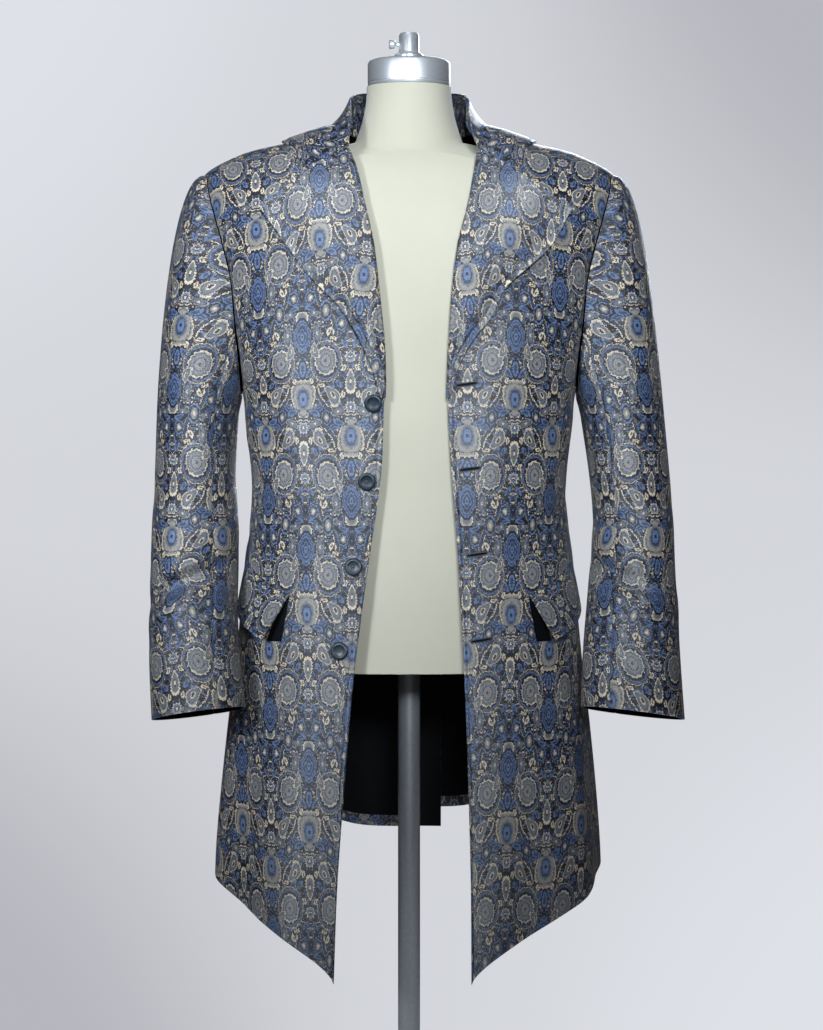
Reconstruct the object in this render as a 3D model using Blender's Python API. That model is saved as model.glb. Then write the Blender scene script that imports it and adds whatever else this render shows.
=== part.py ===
"""A frock coat worn open on a limbless dress form.

Units are metres and +Z is up. The coat faces -Y and the wearer's left is +X.
The origin lies under the middle of the stand's round base.
A side is +1 for the wearer's left and -1 for the wearer's right.
"""

from collections import namedtuple
from math import acos, asin, cos, exp, pi, radians, sin, sqrt

import bmesh
import bpy
from mathutils import Matrix, Vector

for old in list(bpy.data.objects):
    bpy.data.objects.remove(old, do_unlink=True)

# Driving sizes

CLOTH = 0.0020          # outer cloth with its interlining
LINING = 0.0010
SEAM_GAP = 0.0003
LAYER_GAP = 0.0007      # between cloths that lie on each other
ARMPIT_Z = 1.190
SHOULDER_Z = 1.435      # the outer end of the shoulder seam
BEND = 2.6              # how squarely the cloth turns over the shoulder
ARMHOLE_DEPTH = 0.062   # half of the armhole, front to back
ARMHOLE_FULLNESS = 1.08 # the armhole's width low down, narrowing towards the shoulder
ARMHOLE_TAPER = 0.35
YOKE_HEART_Z = 1.36     # the trunk's inside never counts as higher than this
LEFT, RIGHT = 1, -1

# The trunk of the coat, from below the hem up to the shoulder seam's outer end

Section = namedtuple("Section", "z half_width front_depth back_depth fullness")
TRUNK = [
    Section(0.545, 0.2200, 0.158, 0.160, 2.10),
    Section(0.665, 0.2180, 0.154, 0.156, 2.10),
    Section(0.733, 0.2136, 0.149, 0.151, 2.10),
    Section(0.823, 0.2045, 0.142, 0.145, 2.10),
    Section(0.900, 0.1950, 0.133, 0.137, 2.12),
    Section(1.004, 0.1853, 0.124, 0.124, 2.15),
    Section(1.083, 0.1772, 0.117, 0.108, 2.20),
    Section(1.162, 0.1845, 0.122, 0.111, 2.28),
    Section(1.190, 0.1870, 0.124, 0.114, 2.30),
    Section(1.260, 0.2065, 0.129, 0.121, 2.30),
    Section(1.310, 0.2150, 0.130, 0.123, 2.30),
    Section(1.341, 0.2230, 0.129, 0.122, 2.30),
    Section(1.382, 0.2325, 0.127, 0.120, 2.30),
    Section(1.413, 0.2365, 0.125, 0.118, 2.30),
    Section(1.435, 0.2340, 0.124, 0.117, 2.30),
]

# The shoulder seam seen from the front, from the neck out

ShoulderStep = namedtuple("ShoulderStep", "x z")
SHOULDER_LINE = [
    ShoulderStep(0.000, 1.497),
    ShoulderStep(0.040, 1.493),
    ShoulderStep(0.080, 1.484),
    ShoulderStep(0.140, 1.472),
    ShoulderStep(0.180, 1.463),
    ShoulderStep(0.205, 1.453),
    ShoulderStep(0.222, 1.444),
    ShoulderStep(0.234, 1.435),
    ShoulderStep(0.250, 1.420),
]

# Distance of each front's edge from the middle plane: hem, skirt, buttons, roll line, neck

EdgeStep = namedtuple("EdgeStep", "z right left")
FRONT_EDGE = [
    EdgeStep(0.552, 0.0820, 0.0680),
    EdgeStep(0.643, 0.0788, 0.0675),
    EdgeStep(0.697, 0.0756, 0.0665),
    EdgeStep(0.795, 0.0680, 0.0637),
    EdgeStep(0.881, 0.0605, 0.0605),
    EdgeStep(0.957, 0.0508, 0.0565),
    EdgeStep(1.021, 0.0420, 0.0530),
    EdgeStep(1.102, 0.0305, 0.0464),
    EdgeStep(1.173, 0.0275, 0.0425),
    EdgeStep(1.205, 0.0265, 0.0425),
    EdgeStep(1.248, 0.0280, 0.0445),
    EdgeStep(1.302, 0.0335, 0.0480),
    EdgeStep(1.356, 0.0400, 0.0550),
    EdgeStep(1.399, 0.0497, 0.0660),
    EdgeStep(1.442, 0.0600, 0.0740),
    EdgeStep(1.485, 0.0780, 0.0800),
]

# Hems: the fronts drop to a point, the back rises and its two halves differ by the vent's step

FRONT_TIP_Z = 0.552
SIDE_HEM_Z = 0.665
FRONT_HEM_CURVE = 0.64
BACK_HEM_Z = {RIGHT: 0.679, LEFT: 0.703}
BACK_HEM_RISE = 0.026   # the back hem's crest between side seam and middle
BACK_HEM_CREST = 0.62
BACK_HEM_SPREAD = 0.16
NECK_X = 0.079
NECK_BACK_Y = 0.068

# Soft folds of the skirt, deepest at the hem

SkirtFold = namedtuple("SkirtFold", "side turn width top_z depth")
SKIRT_FOLDS = [
    SkirtFold(RIGHT, radians(34), radians(8), 0.93, 0.0030),
    SkirtFold(RIGHT, radians(58), radians(9), 0.98, -0.0050),
    SkirtFold(RIGHT, radians(76), radians(7), 0.90, 0.0040),
    SkirtFold(RIGHT, radians(112), radians(10), 0.98, -0.0070),
    SkirtFold(RIGHT, radians(134), radians(9), 1.00, 0.0060),
    SkirtFold(RIGHT, radians(156), radians(9), 0.98, -0.0080),
    SkirtFold(LEFT, radians(36), radians(9), 0.90, -0.0030),
    SkirtFold(LEFT, radians(60), radians(8), 0.96, 0.0040),
    SkirtFold(LEFT, radians(78), radians(7), 0.92, -0.0040),
    SkirtFold(LEFT, radians(110), radians(10), 1.00, -0.0060),
    SkirtFold(LEFT, radians(131), radians(9), 0.97, 0.0070),
    SkirtFold(LEFT, radians(154), radians(9), 0.99, -0.0070),
]


def between(rows, key):
    """Row of a table at a key between its own, along smooth curves."""
    last = len(rows) - 2
    place = 0
    while place < last and key > rows[place + 1][0]:
        place += 1
    low, high = rows[place], rows[place + 1]
    span = high[0] - low[0]
    share = min(max((key - low[0]) / span, 0.0), 1.0)
    before = rows[max(place - 1, 0)]
    after = rows[min(place + 2, last + 1)]
    values = []
    for column in range(len(low)):
        rise = high[column] - low[column]
        slope_low = (high[column] - before[column]) / (high[0] - before[0]) * span
        slope_high = (after[column] - low[column]) / (after[0] - low[0]) * span
        values.append(
            low[column] + share * slope_low
            + share ** 2 * (3 * rise - 2 * slope_low - slope_high)
            + share ** 3 * (slope_low + slope_high - 2 * rise))
    values[0] = min(max(key, low[0]), high[0])
    return type(low)(*values)


def blend(low, high, share):
    return low + (high - low) * share


def ease(share):
    """Rise from 0 to 1 with level ends."""
    share = min(max(share, 0.0), 1.0)
    return share * share * (3 - 2 * share)


def power(value, exponent):
    """Power that keeps the sign of its base."""
    size = abs(value) ** exponent
    return size if value >= 0 else -size


def skirt_fold(side, turn, z):
    """How far the folds move the skirt out at a point."""
    move = 0.0
    for fold in SKIRT_FOLDS:
        if fold.side != side:
            continue
        growth = ease((fold.top_z - z) / (fold.top_z - SIDE_HEM_Z))
        move += fold.depth * growth * exp(-((turn - fold.turn) / fold.width) ** 2)
    return move


def trunk_point(side, turn, level):
    """Point of the coat's outer face.

    Turn runs from 0 at the centre front to pi at the centre back. Level is in metres from the
    armpit down, as a negative number, and climbs from 0 at the armpit to 1 on the shoulder seam.
    """
    climb = max(level, 0.0) * pi / 2
    rise = power(sin(climb), 2 / BEND)
    draw_in = power(cos(climb), 2 / BEND)
    base_z = ARMPIT_Z + min(level, 0.0)
    row = between(TRUNK, base_z + rise * (SHOULDER_Z - ARMPIT_Z))
    depth = row.front_depth if turn < pi / 2 else row.back_depth
    out_x = power(sin(turn), 2 / row.fullness)
    out_y = power(cos(turn), 2 / row.fullness)
    x = row.half_width * out_x
    y = -depth * draw_in * out_y
    z = base_z + rise * (between(SHOULDER_LINE, x).z - base_z)
    if level < 0:
        move = skirt_fold(side, turn, z)
        x += move * sin(turn)
        y -= move * cos(turn)
    return Vector((side * x, y, z))


def turn_of(x, level, back):
    """Turn at which the trunk reaches a side distance x."""
    rise = power(sin(max(level, 0.0) * pi / 2), 2 / BEND)
    row = between(TRUNK, ARMPIT_Z + min(level, 0.0) + rise * (SHOULDER_Z - ARMPIT_Z))
    turn = asin(min(x / row.half_width, 1.0) ** (row.fullness / 2))
    return pi - turn if back else turn


def level_where(side, x, back, reached):
    """Level between armpit and shoulder seam at which a test first holds, at side distance x."""
    low, high = 0.0, 1.0
    for _ in range(32):
        middle = (low + high) / 2
        if reached(trunk_point(side, turn_of(x, middle, back), middle)):
            high = middle
        else:
            low = middle
    return (low + high) / 2


def level_at_height(side, x, z, back=False):
    """Level of the trunk at side distance x and height z."""
    if z <= ARMPIT_Z:
        return z - ARMPIT_Z
    return level_where(side, x, back, lambda point: point.z >= z)


def outward(surface, u, v, inside):
    """Unit normal of a surface of u and v, pointing away from the inside."""
    step = 0.0005
    across = surface(u + step, v) - surface(u - step, v)
    along = surface(u, min(v + step, 1.0)) - surface(u, max(v - step, 0.0))
    normal = across.cross(along).normalized()
    point = surface(u, v)
    return normal if normal.dot(point - inside(point)) > 0 else -normal


def trunk_axis(point):
    """The inside of the trunk beside a point."""
    return Vector((0.0, 0.0, min(point.z, YOKE_HEART_Z)))


def trunk_normal(side, turn, level):
    step = 0.001
    across = trunk_point(side, turn + step, level) - trunk_point(side, turn - step, level)
    top = min(level + step, 1.0)
    along = trunk_point(side, turn, top) - trunk_point(side, turn, top - 2 * step)
    normal = across.cross(along).normalized()
    point = trunk_point(side, turn, level)
    return normal if normal.dot(point - trunk_axis(point)) > 0 else -normal


def on_trunk(side, x, z, lift, back=False):
    """Point that stands off the trunk's outer face by a lift, at side distance x and height z."""
    level = level_at_height(side, x, z, back)
    turn = turn_of(x, level, back)
    return trunk_point(side, turn, level) + trunk_normal(side, turn, level) * lift


def finish(name, color, roughness, metallic=0.0):
    """Principled material of one sub-part."""
    material = bpy.data.materials.new(name)
    material.use_nodes = True
    shader = material.node_tree.nodes["Principled BSDF"]
    shader.inputs["Base Color"].default_value = (*color, 1.0)
    shader.inputs["Roughness"].default_value = roughness
    shader.inputs["Metallic"].default_value = metallic
    return material


JACQUARD = (0.085, 0.105, 0.150)
BLACK_SATIN = (0.006, 0.006, 0.008)
CREAM_JERSEY = (0.640, 0.610, 0.500)
BRUSHED_STEEL = (0.560, 0.550, 0.520)
DARK_HORN = (0.015, 0.030, 0.045)
CAST_BASE = (0.200, 0.205, 0.210)


def add_mesh(name, points, faces, material):
    """One closed body with its faces pointing out."""
    mesh = bpy.data.meshes.new(name)
    mesh.from_pydata([tuple(point) for point in points], [], faces)
    shape = bmesh.new()
    shape.from_mesh(mesh)
    bmesh.ops.recalc_face_normals(shape, faces=shape.faces)
    shape.to_mesh(mesh)
    shape.free()
    mesh.shade_smooth()
    mesh.set_sharp_from_angle(angle=radians(40))
    mesh.materials.append(material)
    piece = bpy.data.objects.new(name, mesh)
    bpy.context.collection.objects.link(piece)
    return piece


def whole(point):
    return point


def add_wall(name, surface, across, along, thickness, inside, color, roughness=0.45, trim=whole):
    """Cloth wall whose outer face is a surface of u and v, sampled at the given shares."""
    columns, rows = len(across), len(along)
    outer, inner = [], []
    for v in along:
        for u in across:
            point = surface(u, v)
            outer.append(trim(point.copy()))
            inner.append(trim(point - outward(surface, u, v, inside) * thickness))
    count = columns * rows
    faces = []
    for row in range(rows - 1):
        for column in range(columns - 1):
            a = row * columns + column
            b, c, d = a + 1, a + columns + 1, a + columns
            faces.append((a, b, c, d))
            faces.append((count + a, count + d, count + c, count + b))
    for column in range(columns - 1):
        bottom = column
        top = (rows - 1) * columns + column
        faces.append((bottom, count + bottom, count + bottom + 1, bottom + 1))
        faces.append((top, top + 1, count + top + 1, count + top))
    for row in range(rows - 1):
        first = row * columns
        final = first + columns - 1
        faces.append((first, first + columns, count + first + columns, count + first))
        faces.append((final, count + final, count + final + columns, final + columns))
    return add_mesh(name, outer + inner, faces, finish(name, color, roughness))


def shares(count, lean=1.0):
    """Evenly spaced shares from 0 to 1, closer together near 0 with a lean above 1."""
    return [(number / count) ** lean for number in range(count + 1)]


# The armhole is an egg-shaped loop round each side of the trunk, from the armpit to the shoulder

def armhole_reach(rise):
    """Half width of the armhole, front to back, at a share of its height."""
    egg = ARMHOLE_FULLNESS - ARMHOLE_TAPER * rise
    return ARMHOLE_DEPTH * 2 * sqrt(max(rise * (1 - rise), 0.0)) * egg


def armhole_turn(level, back):
    """Turn at which a panel stops at the armhole, or at the side seam below it."""
    if level <= 0:
        return pi / 2
    rise = power(sin(level * pi / 2), 2 / BEND)
    draw_in = power(max(cos(level * pi / 2), 0.0), 2 / BEND)
    if draw_in < 1e-4:
        return pi / 2
    row = between(TRUNK, ARMPIT_Z + rise * (SHOULDER_Z - ARMPIT_Z))
    depth = row.back_depth if back else row.front_depth
    turn = acos(min(armhole_reach(rise) / (depth * draw_in), 1.0) ** (row.fullness / 2))
    return pi - turn if back else turn


def armhole_point(side, theta):
    """Point of the armhole; theta is 0 at the shoulder, a quarter turn in front, half below."""
    rise = min(max((1 + cos(theta)) / 2, 0.0), 1.0)
    level = asin(rise ** (BEND / 2)) * 2 / pi
    return trunk_point(side, armhole_turn(level, sin(theta) < 0), level)


# Fronts, cut from shoulder to hem, each with its edge open at the middle

PANEL_LOWER = 0.60      # share of a panel's rows below the armpit
HALF_SEAM = SEAM_GAP / 2
YOKE_STEPS = 11
YOKE_LEAN = 1.35        # draws the yoke's rows together near the armpit
YOKE_LEVELS = [(step / YOKE_STEPS) ** YOKE_LEAN for step in (0.4, *range(1, YOKE_STEPS + 1))]


def front_edge_x(side, z):
    row = between(FRONT_EDGE, z)
    return row.left if side == LEFT else row.right


def front_surface(side):
    def surface(u, v):
        if v <= PANEL_LOWER:
            drop = 1 - v / PANEL_LOWER
            edge_z = blend(ARMPIT_Z, FRONT_TIP_Z, drop)
            hem = blend(FRONT_TIP_Z, SIDE_HEM_Z, power(u, FRONT_HEM_CURVE))
            level = blend(ARMPIT_Z, hem, drop) - ARMPIT_Z
            edge = turn_of(front_edge_x(side, edge_z), edge_z - ARMPIT_Z, False)
        else:
            level = (v - PANEL_LOWER) / (1 - PANEL_LOWER)
            x = NECK_X
            for _ in range(4):
                z = trunk_point(side, turn_of(x, level, False), level).z
                x = front_edge_x(side, z)
            edge = turn_of(x, level, False)
        return trunk_point(side, blend(edge, armhole_turn(level, False), u), level)
    return surface


def trim_front(point):
    """Keep a front clear of the side and shoulder seams."""
    point.y = min(point.y, -HALF_SEAM)
    return point


FRONT_COLUMNS = shares(12)
PANEL_ROWS = [PANEL_LOWER * share for share in shares(16)]
PANEL_ROWS += [PANEL_LOWER + (1 - PANEL_LOWER) * level for level in YOKE_LEVELS]

for side, label in ((RIGHT, "right"), (LEFT, "left")):
    add_wall("front_" + label, front_surface(side), FRONT_COLUMNS, PANEL_ROWS,
             CLOTH, trunk_axis, JACQUARD, trim=trim_front)

# Backs, joined down the middle to the vent, with a shaped neck and waist

NECK_SHARE = turn_of(NECK_X, 1.0, True) / (pi / 2) - 1 - 1e-6
BACK_COLUMNS = [NECK_SHARE * share for share in shares(6)]
BACK_COLUMNS += [blend(NECK_SHARE, 1.0, share) for share in (0.16, 0.38, 0.62, 0.82, 1.0)]


def neck_level(turn):
    """Level of the back's neckline, or 1 where the back ends on the shoulder seam."""
    row = TRUNK[-1]
    x = row.half_width * power(sin(turn), 2 / row.fullness)
    if x >= NECK_X:
        return 1.0
    y = NECK_BACK_Y * sqrt(1 - (x / NECK_X) ** 2)
    draw_in = y / (row.back_depth * power(-cos(turn), 2 / row.fullness))
    return acos(min(draw_in, 1.0) ** (BEND / 2)) * 2 / pi


def back_hem(side, u):
    """Height of the back hem, from the side seam to the middle."""
    lift = BACK_HEM_RISE * exp(-((u - BACK_HEM_CREST) / BACK_HEM_SPREAD) ** 2)
    return blend(SIDE_HEM_Z, BACK_HEM_Z[side], ease(u)) + lift


def back_surface(side):
    def surface(u, v):
        if v <= PANEL_LOWER:
            level = blend(ARMPIT_Z, back_hem(side, u), 1 - v / PANEL_LOWER) - ARMPIT_Z
            seam = pi / 2
        else:
            climb = (v - PANEL_LOWER) / (1 - PANEL_LOWER)
            level = climb * neck_level(blend(pi / 2, pi, u))
            seam = armhole_turn(climb, True)
        middle = turn_of(HALF_SEAM, level, True)
        return trunk_point(side, blend(seam, middle, u), level)
    return surface


def trim_back(side):
    """Keep a back clear of the side, shoulder and centre seams."""
    def trim(point):
        point.x = side * max(side * point.x, HALF_SEAM)
        point.y = max(point.y, HALF_SEAM)
        return point
    return trim


for side, label in ((RIGHT, "right"), (LEFT, "left")):
    add_wall("back_" + label, back_surface(side), BACK_COLUMNS, PANEL_ROWS,
             CLOTH, trunk_axis, JACQUARD, trim=trim_back(side))

# Vent underlap: the right back's extension, which lies inside the left back below the waist

VENT_TOP_Z = 0.985
VENT_RIGHT_X = -0.006
VENT_LEFT_X = 0.038


def vent_surface(u, v):
    x = blend(VENT_RIGHT_X, VENT_LEFT_X, u)
    z = blend(BACK_HEM_Z[RIGHT] + 0.001, VENT_TOP_Z, v)
    side = LEFT if x > 0 else RIGHT
    point = on_trunk(side, max(abs(x), 0.0005), z, -(CLOTH + LAYER_GAP), True)
    point.x = x
    return point


add_wall("vent_underlap", vent_surface, shares(4), shares(8), CLOTH, trunk_axis, JACQUARD)

# Black lining of the back skirt, where it shows between the fronts

LINING_START = 0.016    # share of the rows between the back's hem and the lining's edge
LINING_ROWS = [LINING_START, *PANEL_ROWS[1:11]]
LINING_COLUMNS = {RIGHT: BACK_COLUMNS[:11], LEFT: BACK_COLUMNS[:8]}


def lining_surface(side):
    back = back_surface(side)

    def surface(u, v):
        return back(u, v) - outward(back, u, v, trunk_axis) * (CLOTH + LAYER_GAP)
    return surface


for side, label in ((RIGHT, "right"), (LEFT, "left")):
    add_wall("skirt_lining_" + label, lining_surface(side), LINING_COLUMNS[side], LINING_ROWS,
             LINING, trunk_axis, BLACK_SATIN, 0.35, trim_back(side))

# Two-piece sleeves, set into the armholes and bent a little forward at the elbow

SleeveRing = namedtuple("SleeveRing", "down out forward half_width half_depth")
SLEEVE_TOP_Z = 1.165
SLEEVES = {
    RIGHT: [
        SleeveRing(0.000, 0.2385, 0.000, 0.0460, 0.067),
        SleeveRing(0.065, 0.2410, 0.004, 0.0455, 0.063),
        SleeveRing(0.115, 0.2400, 0.016, 0.0485, 0.061),
        SleeveRing(0.165, 0.2395, 0.036, 0.0490, 0.059),
        SleeveRing(0.215, 0.2390, 0.058, 0.0490, 0.056),
        SleeveRing(0.265, 0.2365, 0.077, 0.0500, 0.053),
        SleeveRing(0.325, 0.2310, 0.094, 0.0515, 0.050),
    ],
    LEFT: [
        SleeveRing(0.000, 0.2410, 0.000, 0.0470, 0.067),
        SleeveRing(0.065, 0.2486, 0.004, 0.0452, 0.063),
        SleeveRing(0.115, 0.2520, 0.014, 0.0452, 0.061),
        SleeveRing(0.165, 0.2500, 0.032, 0.0475, 0.059),
        SleeveRing(0.215, 0.2480, 0.052, 0.0510, 0.057),
        SleeveRing(0.265, 0.2460, 0.072, 0.0540, 0.055),
        SleeveRing(0.325, 0.2460, 0.090, 0.0570, 0.053),
    ],
}
CUFF_TILT = 0.007       # the cuff is lower on its outer side and at the back
CUFF_BACK_DROP = 0.008
CUFF_START = 0.55       # share of the sleeve's length at which that tilt sets in
SLEEVE_HEAD = 0.42      # share of a sleeve's rows in its head
SLEEVE_HEART_X = 0.225
HEAD_LEAVE = 0.36       # how far the head runs on from the armhole, and into the sleeve
HEAD_ARRIVE = 1.05


def armhole_angle(level):
    """Angle round the armhole at a level of the trunk, so that sleeve and panels share points."""
    return acos(2 * power(sin(level * pi / 2), 2 / BEND) - 1)


SLEEVE_ANGLES = [armhole_angle(level) for level in (0.0, *YOKE_LEVELS)]
FRONT_SEAM = SLEEVE_ANGLES[3]
BACK_SEAM = -SLEEVE_ANGLES[4]

# Elbow creases, each a soft trough or ridge that runs down towards the outside

SleeveCrease = namedtuple("SleeveCrease", "side theta down slope reach width depth")
SLEEVE_CREASES = [
    SleeveCrease(RIGHT, radians(80), 0.180, 0.020, radians(60), 0.012, -0.0045),
    SleeveCrease(RIGHT, radians(95), 0.155, 0.010, radians(50), 0.012, 0.0030),
    SleeveCrease(RIGHT, radians(110), 0.275, 0.008, radians(35), 0.010, -0.0020),
    SleeveCrease(LEFT, radians(115), 0.176, 0.014, radians(45), 0.012, -0.0045),
    SleeveCrease(LEFT, radians(100), 0.150, 0.012, radians(50), 0.012, 0.0025),
    SleeveCrease(LEFT, radians(100), 0.262, 0.006, radians(40), 0.010, -0.0020),
]


def sleeve_section(side, theta, down):
    """Point of a level ring of the sleeve below its head."""
    row = between(SLEEVES[side], down)
    length = SLEEVES[side][-1].down
    settle = ease((down / length - CUFF_START) / (1 - CUFF_START))
    dip = (CUFF_TILT * cos(theta) - CUFF_BACK_DROP * sin(theta)) * settle
    out = row.out + row.half_width * cos(theta)
    forward = row.forward + row.half_depth * sin(theta)
    for crease in SLEEVE_CREASES:
        if crease.side != side:
            continue
        swing = theta - crease.theta
        height = down - crease.down + crease.slope * swing
        push = crease.depth * exp(-(height / crease.width) ** 2 - (swing / crease.reach) ** 2)
        out += push * cos(theta)
        forward += push * sin(theta)
    return Vector((side * out, -forward, SLEEVE_TOP_Z - down - dip))


def sleeve_point(side, theta, v):
    """Point of the sleeve's outer face, from the armhole at v = 0 to the cuff at v = 1."""
    if v >= SLEEVE_HEAD:
        share = (v - SLEEVE_HEAD) / (1 - SLEEVE_HEAD)
        return sleeve_section(side, theta, share * SLEEVES[side][-1].down)
    share = v / SLEEVE_HEAD
    start = armhole_point(side, theta)
    start.x += side * 2 * SEAM_GAP
    end = sleeve_section(side, theta, 0.0)
    span = (end - start).length
    over = (1 + cos(theta)) / 2
    leave = Vector((side * blend(0.15, 1.0, over), 0.0, -blend(1.0, 0.1, over))).normalized()
    arrive = (sleeve_section(side, theta, 0.004) - end).normalized()
    cube, square = share ** 3, share ** 2
    leave *= HEAD_LEAVE * span * (cube - 2 * square + share)
    arrive *= HEAD_ARRIVE * span * (cube - square)
    return start * (2 * cube - 3 * square + 1) + leave + end * (3 * square - 2 * cube) + arrive


def sleeve_surface(side, start, end):
    def surface(u, v):
        return sleeve_point(side, blend(start, end, u), v)
    return surface


def sleeve_axis(side):
    """The inside of a sleeve beside a point."""
    def inside(point):
        down = SLEEVE_TOP_Z - point.z
        if down > 0:
            row = between(SLEEVES[side], down)
            return Vector((side * row.out, -row.forward, point.z))
        return Vector((side * SLEEVE_HEART_X, 0.0, min(point.z, YOKE_HEART_Z)))
    return inside


SLEEVE_ROWS = [SLEEVE_HEAD * share for share in shares(7)]
SLEEVE_ROWS += [SLEEVE_HEAD + (1 - SLEEVE_HEAD) * share for share in shares(10)[1:]]
SEAM_TURN = 0.003       # half of a sleeve seam's gap as an angle


def columns_between(start, end):
    """Shares from one seam to the other that fall on the points round the armhole."""
    angles = sorted({round(sign * angle + turn, 6)
                     for angle in SLEEVE_ANGLES for sign in (-1, 1) for turn in (0.0, 2 * pi)})
    inner = [angle for angle in angles if start + 0.01 < angle < end - 0.01]
    return [0.0] + [(angle - start) / (end - start) for angle in inner] + [1.0]


SLEEVE_PARTS = [("upper", BACK_SEAM, FRONT_SEAM), ("under", FRONT_SEAM, BACK_SEAM + 2 * pi)]
for side, label in ((RIGHT, "right"), (LEFT, "left")):
    for part, start, end in SLEEVE_PARTS:
        add_wall("sleeve_" + part + "_" + label,
                 sleeve_surface(side, start + SEAM_TURN, end - SEAM_TURN),
                 columns_between(start, end), SLEEVE_ROWS, CLOTH, sleeve_axis(side), JACQUARD)

# Collar: a stand up the neck, and a fall that turns over it and spreads on the shoulders

CollarRow = namedtuple(
    "CollarRow", "share seam_x seam_y fold_x fold_y fold_z bend_x bend_y bend_z edge_x edge_y")
COLLAR = [
    CollarRow(0.00, 0.000, 0.067, 0.000, 0.058, 1.536, 0.000, 0.073, 1.500, 0.000, 0.080),
    CollarRow(0.28, 0.046, 0.055, 0.041, 0.047, 1.534, 0.052, 0.065, 1.496, 0.070, 0.067),
    CollarRow(0.55, 0.078, 0.008, 0.066, 0.004, 1.525, 0.080, 0.010, 1.487, 0.126, 0.030),
    CollarRow(0.78, 0.078, -0.036, 0.067, -0.042, 1.500, 0.084, -0.036, 1.478, 0.137, 0.000),
    CollarRow(1.00, 0.074, -0.072, 0.066, -0.076, 1.466, 0.092, -0.072, 1.452, 0.142, -0.026),
]
GORGE_Z = 1.458
NOTCH_X, NOTCH_Z = 0.117, 1.430
NOTCH_SHARE = 0.52
COLLAR_LIFT = CLOTH + 0.0025
COLLAR_ROLL = 0.0065    # further lift between the fold and the outer edge
COLLAR_FRONT = 0.74     # share from which the fall takes the straight lines of its front
STAND_END = 0.07        # the stand stops this short of either end of the fall
STAND_INSET = 0.003     # the stand's seam lies this far inside the neckline
STAND_LIFT = 0.0012
STAND_DROP = 0.0012     # the stand's top lies this far below the fold


def top_of_shoulder(side, x, y, lift):
    """Point above the shoulder at a plan position, lifted along the cloth's normal."""
    back = y > 0
    level = level_where(side, x, back, lambda point: abs(point.y) <= abs(y))
    turn = turn_of(x, level, back)
    return trunk_point(side, turn, level) + trunk_normal(side, turn, level) * lift


def collar_row(u):
    """Collar row and side for a share from the right end to the left end."""
    side = LEFT if u >= 0.5 else RIGHT
    return side, between(COLLAR, min(abs(2 * u - 1), 1.0))


def gorge_x(side):
    return front_edge_x(side, GORGE_Z) + 0.001


def above_shoulder(side, point, v):
    """Lift a point of the collar clear of the shoulder, outside the neckline."""
    if (point.x / NECK_X) ** 2 + (point.y / NECK_BACK_Y) ** 2 > 1.0:
        lift = COLLAR_LIFT + COLLAR_ROLL * sin(pi * v)
        floor = top_of_shoulder(side, max(abs(point.x), 0.0005), point.y, lift)
        point.z = max(point.z, floor.z)
    return point


def collar_fall_surface(u, v):
    side, row = collar_row(u)
    fold = Vector((side * row.fold_x, row.fold_y, row.fold_z))
    bend = Vector((side * row.bend_x, row.bend_y, row.bend_z))
    edge = top_of_shoulder(side, max(row.edge_x, 0.0005), row.edge_y, COLLAR_LIFT)
    edge.x = side * row.edge_x
    soft = fold * (1 - v) ** 2 + bend * 2 * v * (1 - v) + edge * v ** 2
    gorge = on_trunk(side, gorge_x(side), GORGE_Z, COLLAR_LIFT + 0.001)
    notch = on_trunk(side, NOTCH_X, NOTCH_Z, COLLAR_LIFT)
    if v < NOTCH_SHARE:
        sharp = blend(gorge, notch, v / NOTCH_SHARE)
    else:
        sharp = blend(notch, edge, (v - NOTCH_SHARE) / (1 - NOTCH_SHARE))
    front = ease((row.share - COLLAR_FRONT) / (1 - COLLAR_FRONT))
    return above_shoulder(side, blend(soft, sharp, front), v)


def collar_stand_surface(u, v):
    side, row = collar_row(blend(STAND_END, 1 - STAND_END, u))
    seam = top_of_shoulder(side, max(row.seam_x, 0.0005), row.seam_y, STAND_LIFT)
    reach = min(row.seam_x, front_edge_x(side, seam.z)) if row.seam_y < 0 else row.seam_x
    inward = Vector((-row.seam_x, -row.seam_y, 0.0)).normalized()
    seam.x = side * (reach + inward.x * STAND_INSET)
    seam.y += inward.y * STAND_INSET
    fold = Vector((side * row.fold_x, row.fold_y, row.fold_z))
    inward = Vector((-side * row.fold_x, -row.fold_y, 0.0)).normalized()
    return blend(seam, fold + inward * (CLOTH + SEAM_GAP) - Vector((0.0, 0.0, STAND_DROP)), v)


add_wall("collar_fall", collar_fall_surface, shares(28),
         [0.0, 0.16, 0.34, NOTCH_SHARE, 0.68, 0.84, 1.0], CLOTH, trunk_axis, JACQUARD)
add_wall("collar_stand", collar_stand_surface, shares(26), shares(3), CLOTH, trunk_axis, JACQUARD)

# Lapels: the turned-back tops of the fronts, from the gorge to the top button

LapelStep = namedtuple("LapelStep", "share right_x right_z left_x left_z")
LAPEL_EDGE = [
    LapelStep(0.00, 0.0310, 1.188, 0.0450, 1.190),
    LapelStep(0.14, 0.0420, 1.225, 0.0530, 1.220),
    LapelStep(0.28, 0.0566, 1.257, 0.0680, 1.249),
    LapelStep(0.42, 0.0740, 1.285, 0.0860, 1.272),
    LapelStep(0.58, 0.0960, 1.307, 0.1030, 1.305),
    LapelStep(0.72, 0.1180, 1.335, 0.1260, 1.327),
    LapelStep(0.86, 0.1400, 1.366, 0.1510, 1.352),
    LapelStep(1.00, 0.1610, 1.395, 0.1745, 1.393),
]
LAPEL_BREAK_Z = 1.186
LAPEL_ROLL = 0.0045     # how far the lapel stands off along the roll
LAPEL_ROLL_REACH = 1.15
LAPEL_ROLL_START = 0.3
LAPEL_LIFT = CLOTH + LAYER_GAP
LAPEL_TOP = 0.5         # share above which the rows take the notched line of the top edge


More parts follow.
